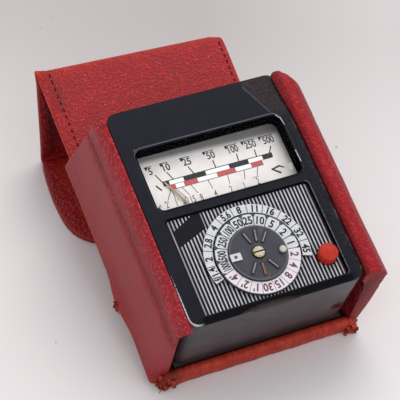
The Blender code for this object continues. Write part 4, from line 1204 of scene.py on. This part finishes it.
class Print:
    """Flat marks on one plane of the meter frame."""

    def __init__(self, z):
        self.bm = bmesh.new()
        self.z = z

    def polygon(self, points):
        self.bm.faces.new([self.bm.verts.new((x, y, self.z)) for x, y in points])

    def line(self, start, end, width, end_width=None):
        start, end = Vector(start), Vector(end)
        side = (end - start).normalized().orthogonal()
        a, b = side * width / 2, side * (end_width or width) / 2
        self.polygon([start - a, end - b, end + b, start + a])

    def lines(self, ends, width):
        for start, end in ends:
            self.line(start, end, width)

    def blocks(self, spans, low, high, slant=0.0):
        """Upright boxes over the spans; their near right corner is drawn in by the slant."""
        for left, right in spans:
            self.polygon([(left, low), (right - slant, low), (right, high), (left, high)])

    def sector(self, centre, inner, outer, start, end, steps=6):
        self.polygon(arc(centre, outer, start, end, steps) + arc(centre, inner, end, start, steps))

    def text(self, words, place, height, angle=0.0, squeeze=1.0, bold=0.0):
        """Words centred on a place; height is that of a digit."""
        curve = bpy.data.curves.new("words", "FONT")
        curve.body = words
        curve.align_x = "CENTER"
        curve.size = height / digit_share
        curve.offset = bold
        curve.resolution_u = 3
        made = link("words", curve)
        mesh = final_mesh(made)
        turn = Matrix.Rotation(math.radians(angle), 4, "Z")
        shift = Matrix.Translation((place[0], place[1], self.z))
        shape = Matrix.Diagonal((squeeze, 1.0, 1.0, 1.0)) @ Matrix.Translation((0.0, -height / 2, 0.0))
        mesh.transform(shift @ turn @ shape)
        self.bm.from_mesh(mesh)
        bpy.data.objects.remove(made)
        bpy.data.meshes.remove(mesh)

    def done(self, name, look, body, slot):
        return solid(name, self.bm, look, body)


def spot(centre, radius, angle):
    turn = math.radians(angle)
    return centre[0] + radius * math.cos(turn), centre[1] + radius * math.sin(turn)


def arc(centre, radius, start, end, steps):
    return [spot(centre, radius, start + (end - start) * i / steps) for i in range(steps + 1)]


def build_scale(looks):
    """Numbers, ticks and the two rows of blocks on the card."""
    z = card_z + print_lift
    black, red, faded = Print(z), Print(z), Print(z)
    # Words, their centre, and the two ends of the bar over them
    numbers = (("5", -19.8, -20.9, -19.0), ("10", -14.7, -15.9, -13.6), ("25", -7.6, -9.2, -6.4),
               ("50", 0.4, -1.5, 1.9), ("100", 7.9, 6.0, 9.7), ("250", 14.0, 11.6, 15.9),
               ("500", 20.2, 17.6, 22.0))
    for words, x, left, right in numbers:
        black.text(words, (x + 0.1, 54.1), 2.35, squeeze=0.84 if len(words) < 3 else 0.74, bold=0.06)
        black.polygon([(left - 0.3, 55.8), (left + 0.9, 55.8), (left + 0.2, 54.6), (left - 0.1, 54.6)])
        black.line((left, 55.68), (right + 0.2, 55.62), 0.27)
    black.lines((((-18.7, 52.5), (-17.5, 49.6)), ((-14.9, 52.4), (-13.8, 49.6)), ((-7.8, 52.4), (-6.8, 49.4)),
                 ((0.5, 52.3), (0.5, 49.4)), ((8.6, 52.3), (8.3, 49.4)), ((14.7, 52.1), (14.4, 49.3)),
                 ((20.3, 51.8), (18.6, 49.1))), 0.36)
    faded.lines((((-15.9, 46.3), (-18.0, 43.3)), ((-15.5, 46.1), (-15.7, 43.0)),
                 ((-14.8, 46.2), (-13.1, 42.7)), ((-14.2, 46.2), (-12.1, 42.3)),
                 ((-12.2, 46.3), (-10.9, 43.0)), ((-9.2, 46.2), (-8.2, 43.0)), ((-3.5, 46.4), (-3.2, 43.0)),
                 ((3.1, 46.3), (2.6, 43.1)), ((8.8, 46.3), (7.7, 43.1)), ((13.4, 46.2), (12.0, 43.3))), 0.26)
    black.blocks(((-17.5, -15.4), (-10.6, -3.2), (4.7, 11.3), (16.1, 19.6)), 47.95, 49.5, slant=0.1)
    red.blocks(((-16.2, -13.9), (-11.1, -6.6), (0.0, 6.2), (11.6, 15.5)), 46.4, 47.9)
    black.line((-17.5, 49.55), (19.6, 49.5), 0.28)
    faded.line((-16.0, 47.95), (19.0, 47.9), 0.2)
    faded.line((-16.2, 46.3), (15.6, 46.3), 0.26)
    white = Print(z - 0.01)
    white.blocks(((-15.3, -10.8), (-3.1, 4.5), (11.4, 16.0)), 48.05, 49.4)
    white.blocks(((-13.8, -11.2), (-6.5, -0.1), (6.3, 11.5)), 46.45, 47.85)
    white.done("scale_white_blocks", looks["white_ink"], "case_and_meter", "card")
    seconds = (("4'", -21.4, 41.2), ("2'", -18.7, 41.9), ("1'", -15.6, 41.7), ("30", -12.9, 41.8),
               ("15", -10.5, 41.5), ("8", -7.6, 41.3), ("4", -2.9, 41.3), ("2", 2.3, 41.3),
               ("1", 6.8, 41.4), ("2", 11.5, 41.5))
    for words, x, y in seconds:
        faded.text(words, (x, y), 2.3, squeeze=0.6, bold=0.04)
    faded.line((10.2, 43.0), (12.6, 43.0), 0.2)
    black.line((-19.8, 48.9), (-18.6, 46.9), 0.5)
    black.line((17.3, 43.9), (20.1, 44.5), 0.6, 0.6)
    black.line((19.9, 44.6), (21.5, 43.5), 0.6, 0.35)
    black.line((17.3, 44.1), (19.8, 42.0), 0.55, 0.7)
    black.done("scale_marks", looks["scale_ink"], "case_and_meter", "card")
    red.done("scale_red_blocks", looks["red_ink"], "case_and_meter", "card")
    faded.done("scale_faded_marks", looks["faded_ink"], "case_and_meter", "card")


def build_dial(looks):
    """White cells and numbers of the two rings."""
    fixed, fixed_ink = Print(fixed_ring_top), Print(fixed_ring_top + ink_lift)
    numbers = ((189, "f/1.4"), (170, "2"), (150, "2.8"), (129, "4"), (108, "5.6"), (90, "8"),
               (71, "11"), (53, "16"), (31, "22"), (11, "32"), (-10, "45"))
    for angle, words, before, after in with_borders(numbers, 199.6, -19.0):
        fixed.sector(dial, *outer_cells, before - 0.45, after + 0.45, 8)
        squeeze = 0.9 if len(words) < 3 else 0.8
        fixed_ink.text(words, spot(dial, 15.2, angle), 2.2, angle - 90.0, squeeze, 0.11)
    fixed.done("fixed_ring_cells", looks["enamel"], "case_and_meter", "ring")
    fixed_ink.done("fixed_ring_numbers", looks["ink"], "case_and_meter", "ring")
    cells, lower_cells = Print(time_ring_top), Print(time_ring_top)
    ink, brown = Print(time_ring_top + ink_lift), Print(time_ring_top + ink_lift)
    numbers = ((186, "1000"), (167, "500"), (144, "250"), (122, "100"), (101, "50"), (84, "25"), (65, "10"),
               (45, "5"), (23, "2"), (2, "1"), (-18, "2"), (-37, "4"), (-57, "8"), (-77, "15"), (-97, "30"),
               (-115, "1'"), (-133, "2'"), (-153, "4'"))
    for angle, words, before, after in with_borders(numbers, 196.5, -163.5):
        if angle > 0:
            tab(cells, before - 0.8, after + 0.8)
            wide = {4: 0.46, 3: 0.60}.get(len(words), 0.84)
            ink.text(words, spot(dial, 11.1, angle), 2.45, angle - 90.0, wide, 0.10)
        else:
            lower_cells.sector(dial, *time_cells, before - cell_gap, after + cell_gap)
            brown.text(words, spot(dial, 11.2, angle), 2.4, angle - 90.0, 0.88, 0.1)
    cells.done("time_ring_fractions", looks["enamel"], "time_ring", "ring")
    lower_cells.done("time_ring_long_times", looks["pink_enamel"], "time_ring", "ring")
    ink.done("time_ring_numbers", looks["ink"], "time_ring", "ring")
    brown.done("time_ring_whole_seconds", looks["brown_ink"], "time_ring", "ring")
    dot = Print(index_top)
    dot.sector(spot(dial, 7.5, 178), 0.0, 0.55, 0.0, 359.0, 18)
    dot.done("index_dot", looks["grey_ink"], "dial_centre", "ring")


def with_borders(numbers, first, last):
    """Angle and words of each number, and the borders of its cell, which lie midway between numbers."""
    angles = [angle for angle, _ in numbers]
    borders = [first, *((a + b) / 2 for a, b in zip(angles, angles[1:])), last]
    return [(*number, *ends) for number, ends in zip(numbers, zip(borders, borders[1:]))]


def tab(cells, start, end):
    """A cell whose two outer corners are cut off."""
    inner, outer = time_cells
    cut, cut_turn = 1.0, 2.6
    points = arc(dial, inner, start, end, 4) + [spot(dial, outer - cut, end)]
    points += arc(dial, outer, end + cut_turn, start - cut_turn, 4) + [spot(dial, outer - cut, start)]
    cells.polygon(points)


def finish_nodes(looks):
    """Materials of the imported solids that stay."""
    finishes = {
        "face": ("front_cover",),
        "tub": ("rear_housing",),
        "card": ("scale_card",),
        "stripes": ("stripe_plate",),
        "disc": ("centre_disc", "time_disc", "f_number_ring"),
        "glass": ("window_glass",),
        "button": ("release_button",),
        "peg": ("finger_peg",),
        "white": ("index_tab",),
        "nickel": ("dial_screw",),
        "copper": ("moving_coil",),
        "end_screw": ("near_end_screw",),
        "needle": ("needle",),
        "brass": ("dial_bush", "dial_nut", "button_guide", "counterweight", "contact_frame",
                  "upper_hairspring", "lower_hairspring", "movement_base", "upper_bridge", "lever_bracket",
                  "left_near_pillar", "left_far_pillar", "right_near_pillar", "right_far_pillar"),
        "steel": ("button_spring", "brake_lever", "lever_pin", "magnet", "core", "core_pin", "upper_pivot",
                  "lower_pivot", "left_near_screw", "left_far_screw", "right_near_screw", "right_far_screw"),
        "cell": ("selenium_cell",),
        "lens": ("cell_lens",),
        "carrier": ("cell_carrier", "series_resistor"),
        "lead": ("cell_lead", "return_lead"),
        "board": ("case_bottom_board",),
    }
    for look, names in finishes.items():
        for name in names:
            made = nodes[name]
            made.data.materials.clear()
            made.data.materials.append(looks[look])
    rounded = {"front_cover": 0.35, "release_button": 0.25, "finger_peg": 0.25, "dial_screw": 0.15,
               "centre_disc": 0.15, "index_tab": 0.1, "rear_housing": 0.3}
    for name, width in rounded.items():
        weld = nodes[name].modifiers.new("joined", "WELD")
        weld.merge_threshold = 0.002 * mm
        bevel(nodes[name], width, 3, 40.0)
    nodes["window_glass"].visible_shadow = False


# Plain finishes: name, colour, roughness, size and depth of the mottle, darkest share, specular level
plain_finishes = {
    "matt_black": ("matt_black", (7, 7, 9), 0.95, 1.0, 0.01, 0.7, 0.02),
    "enamel": ("white_enamel", (214, 214, 215), 0.45, 0.8, 0.01, 0.90, 0.3),
    "pink_enamel": ("pink_enamel", (226, 217, 219), 0.45, 0.8, 0.01, 0.94, 0.3),
    "scale_ink": ("grey_black_ink", (54, 56, 58), 0.6, 0.8, 0.0, 0.8, 0.2),
    "ink": ("black_ink", (38, 38, 42), 0.6, 0.8, 0.0, 0.8, 0.2),
    "faded_ink": ("faded_ink", (112, 98, 96), 0.6, 0.8, 0.0, 0.8, 0.5),
    "brown_ink": ("brown_ink", (104, 62, 64), 0.55, 1.2, 0.0, 0.75, 0.5),
    "red_ink": ("red_ink", (196, 74, 74), 0.55, 0.8, 0.0, 0.85, 0.5),
    "grey_ink": ("grey_ink", (84, 84, 84), 0.5, 0.8, 0.0, 0.8, 0.5),
    "white_ink": ("white_ink", (246, 245, 242), 0.6, 1.0, 0.0, 0.97, 0.5),
    "peg": ("cream_peg", (206, 198, 190), 0.4, 1.0, 0.02, 0.85, 0.5),
    "white": ("white_tab", (208, 209, 210), 0.45, 1.0, 0.01, 0.92, 0.3),
    "needle": ("gilt_needle", (188, 162, 124), 0.5, 0.8, 0.0, 0.85, 0.5),
    "ring": ("dark_red_ring", (82, 22, 36), 0.45, 0.6, 0.02, 0.6, 0.2),
    "carrier": ("moulded_carrier", (58, 44, 36), 0.5, 2.0, 0.02, 0.85, 0.5),
    "lead": ("cloth_lead", (120, 40, 34), 0.7, 0.6, 0.04, 0.85, 0.5),
    # The board's dark brown is partly its lining colour and partly painted shade under the meter's near end.
    "board": ("case_board", (58, 40, 32), 0.8, 1.2, 0.05, 0.8, 0.5),
    "thread": ("stitch_thread", (112, 12, 20), 0.75, 0.5, 0.03, 0.7, 0.1),
}
# Metals: name, colour, roughness
metals = {
    "brass": ("brass", (176, 142, 84), 0.4),
    "copper": ("copper", (150, 84, 62), 0.42),
    "end_screw": ("dull_screw", (104, 84, 82), 0.45),
    "steel": ("steel", (150, 150, 152), 0.38),
}


def make_looks():
    looks = {
        "leather": leather_look("lid_leather", (172, 19, 24), (156, 12, 18), (190, 56, 22), (140, 56, 58)),
        "wall": leather_look("wall_leather", (168, 28, 38), (150, 22, 32), (190, 56, 24), (136, 52, 56),
                             0.90, 0.20, 0.24, (0.28, 0.50, 0.5)),
        "right_wall": leather_look("right_wall_leather", (168, 30, 38), (150, 24, 32), (190, 56, 24),
                                   (136, 46, 50), 0.90, 0.20, 0.08, (0.28, 0.50, 0.5)),
        "worn_leather": leather_look("worn_leather", (157, 30, 27), (136, 20, 18), (188, 64, 37),
                                     (144, 54, 46), 0.5, 0.12),
        "face": face_look(),
        "bead": bead_look(),
        "tub": tub_look(),
        "stripes": stripe_look(),
        "card": card_look(),
        "disc": disc_look(),
        "button": button_look(),
        "nickel": screw_look(),
        "glass": pane_look(),
        "cell": plain_look("selenium", (56, 58, 66), 0.3, 2.0, 0.01, 0.8, Metallic=0.5),
        "lens": plain_look("lens_glass", (226, 232, 228), 0.12, 3.0, 0.02, 0.95,
                           Transmission_Weight=0.9, IOR=1.5),
    }
    for key, (name, *values, specular) in plain_finishes.items():
        looks[key] = plain_look(name, *values, Specular_IOR_Level=specular)
    for key, values in metals.items():
        looks[key] = metal_look(*values)
    return looks


def build_stage():
    """Pale floor with painted shade towards the far side and painted light towards the sides, soft lights and
    the camera.
    """
    floor = bpy.data.meshes.new("floor")
    half = 3.0
    corners = [(-half, -half, 0), (half, -half, 0), (half, half, 0), (-half, half, 0)]
    floor.from_pydata(corners, [], [(0, 1, 2, 3)])
    made = link("floor", floor)
    look = Paint("pale_floor", (214, 209, 207), 0.6, Specular_IOR_Level=0.2)
    coordinates = look.node("ShaderNodeTexCoord").outputs["Object"]
    cloud = look.noise(coordinates, 0.35, 2.0)
    speck = look.noise(coordinates, 0.004, 1.0)
    look.lay(look.mix(look.spread(cloud, 0.3, 0.7), (219, 213, 211), (225, 219, 217)))
    # Painted shade towards the far side of the floor.
    away = look.measure("DOT_PRODUCT", coordinates, (0.46, 0.888, 0.0))
    look.coat(look.spread(away, 0.0, 0.125, smooth=True), (178, 170, 167))
    # Painted light towards the sides of the floor, more to the right.
    across = look.measure("DOT_PRODUCT", coordinates, (0.912, -0.41, 0.0))
    look.coat(look.spread(across, 0.0, -0.07, 0.0, 0.10), (240, 234, 232))
    look.coat(look.spread(across, 0.0, 0.07, 0.0, 0.35), (236, 231, 230))
    look.coat(look.spread(speck, 0.78, 0.82, 0.0, 0.6), (110, 104, 102))
    floor.materials.append(look.made)

    world = bpy.data.worlds.new("studio")
    bpy.context.scene.world = world
    world.use_nodes = True
    background = world.node_tree.nodes["Background"]
    background.inputs["Color"].default_value = (0.93, 0.95, 1.0, 1.0)
    background.inputs["Strength"].default_value = 0.93

    lamp("window_light", (0.9, 1.2, 2.3), (0.0, 0.0, 0.02), 1.8, 24.0, (1.0, 0.985, 0.96))
    lamp("fill_light", (0.9, -1.5, 1.5), (0.0, 0.0, 0.0), 2.0, 7.0, (0.95, 0.97, 1.0))

    camera_data = bpy.data.cameras.new("camera")
    camera_data.lens = camera_lens
    camera_data.sensor_width = 36.0
    camera_data.clip_start = 0.01
    camera = link("camera", camera_data)
    turn = Matrix((camera_right, camera_up, camera_back)).transposed().to_4x4()
    camera.matrix_world = Matrix.Translation(camera_place) @ turn
    bpy.context.scene.camera = camera
    bpy.context.scene.view_settings.view_transform = "Standard"


def lamp(name, place, target, size, power, colour):
    data = bpy.data.lights.new(name, "AREA")
    data.shape = "DISK"
    data.size = size
    data.energy = power
    data.color = colour
    made = link(name, data)
    made.location = place
    made.rotation_euler = (Vector(place) - Vector(target)).to_track_quat("Z", "Y").to_euler()


def left_tone(point, _):
    """Smooth side with a painted sheen band below a pebbled lip, painted shade in the groove between them,
    darker on the lip's lower part and off the band; orange wear near the foot.
    """
    down = (groove_z - point.z) / (groove_z - foot_z)
    side = step(-point.z, 10.4, 13.4)
    # Painted sheen: a pale band down the middle of the smooth side.
    band = step(down, 0.06, 0.2) * (1 - 0.85 * step(down, 0.55, 0.95))
    # Painted shade in the groove between the lip and the side.
    groove = math.exp(-((point.z - groove_z + 0.2) / 1.5) ** 2) * step(-point.x, 29.6, 30.6)
    under = 0.3 * step(-point.z, 3.0, 8.0) * (1 - side)
    low = step(-point.z, 28.0, 32.0)
    return 0.5 * low, side * (0.2 + 0.8 * band), max(0.4 * groove, 0.36 * side * (1 - band), under)


def right_tone(point, normal):
    """Smooth near cut with a painted sheen, and darker; pebbled side; painted shade in the groove, in a torn
    gap between the lip and the face, on the inner face near the top and on the outer side.
    """
    near_cut = step(-normal.y, 0.5, 0.9)
    side = step(-point.z, 8.6, 9.6)
    # Painted shade in the groove between the lip and the side.
    groove = math.exp(-((point.z - groove_z) / 0.9) ** 2) * step(point.x, 29.6, 30.6)
    low = step(-point.z, 29.0, 32.5)
    ragged = 0.8 * ripple(point, 1.6, 6.0)
    # Painted shade: the torn gap between the lip and the face is darkened.
    gap = step(30.9 + ragged - point.x, 0.0, 1.0) * step(4.0 - point.y, 0.0, 3.0) * step(-point.z, 3.0, 6.0)
    # Painted sheen on the near cut and the side.
    smooth = max(0.8 * near_cut * (1 - gap), 0.4 * side, 0.22)
    # Painted shade on the inner face near the top.
    inner = step(30.7 - point.x, 0.0, 1.2) * step(point.z, -3.0, 0.0)
    # Painted shade on the outer side, by its normal.
    outer = step(normal.x, 0.2, 0.8) * 0.22
    return 0.06 + 0.3 * low, smooth, max(0.5 * groove, 0.4 * near_cut, 0.95 * gap, 0.55 * inner, outer)


def main():
    looks = make_looks()
    build_stage()
    finish_nodes(looks)
    left = build_wall("left_wall_leather", left_wall, looks["wall"], left_tone)
    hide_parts("case_left_cover", "case_left_stiffener")
    right = build_wall("right_wall_leather", right_wall, looks["right_wall"], right_tone)
    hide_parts("case_right_cover", "case_right_stiffener")
    build_lid(looks)
    build_stitches(looks)
    build_strip(looks)
    build_frays(looks)
    build_end_ring(looks)
    build_window_frame(looks)
    build_lens_domes(looks)
    build_scale(looks)
    build_dial(looks)


main()
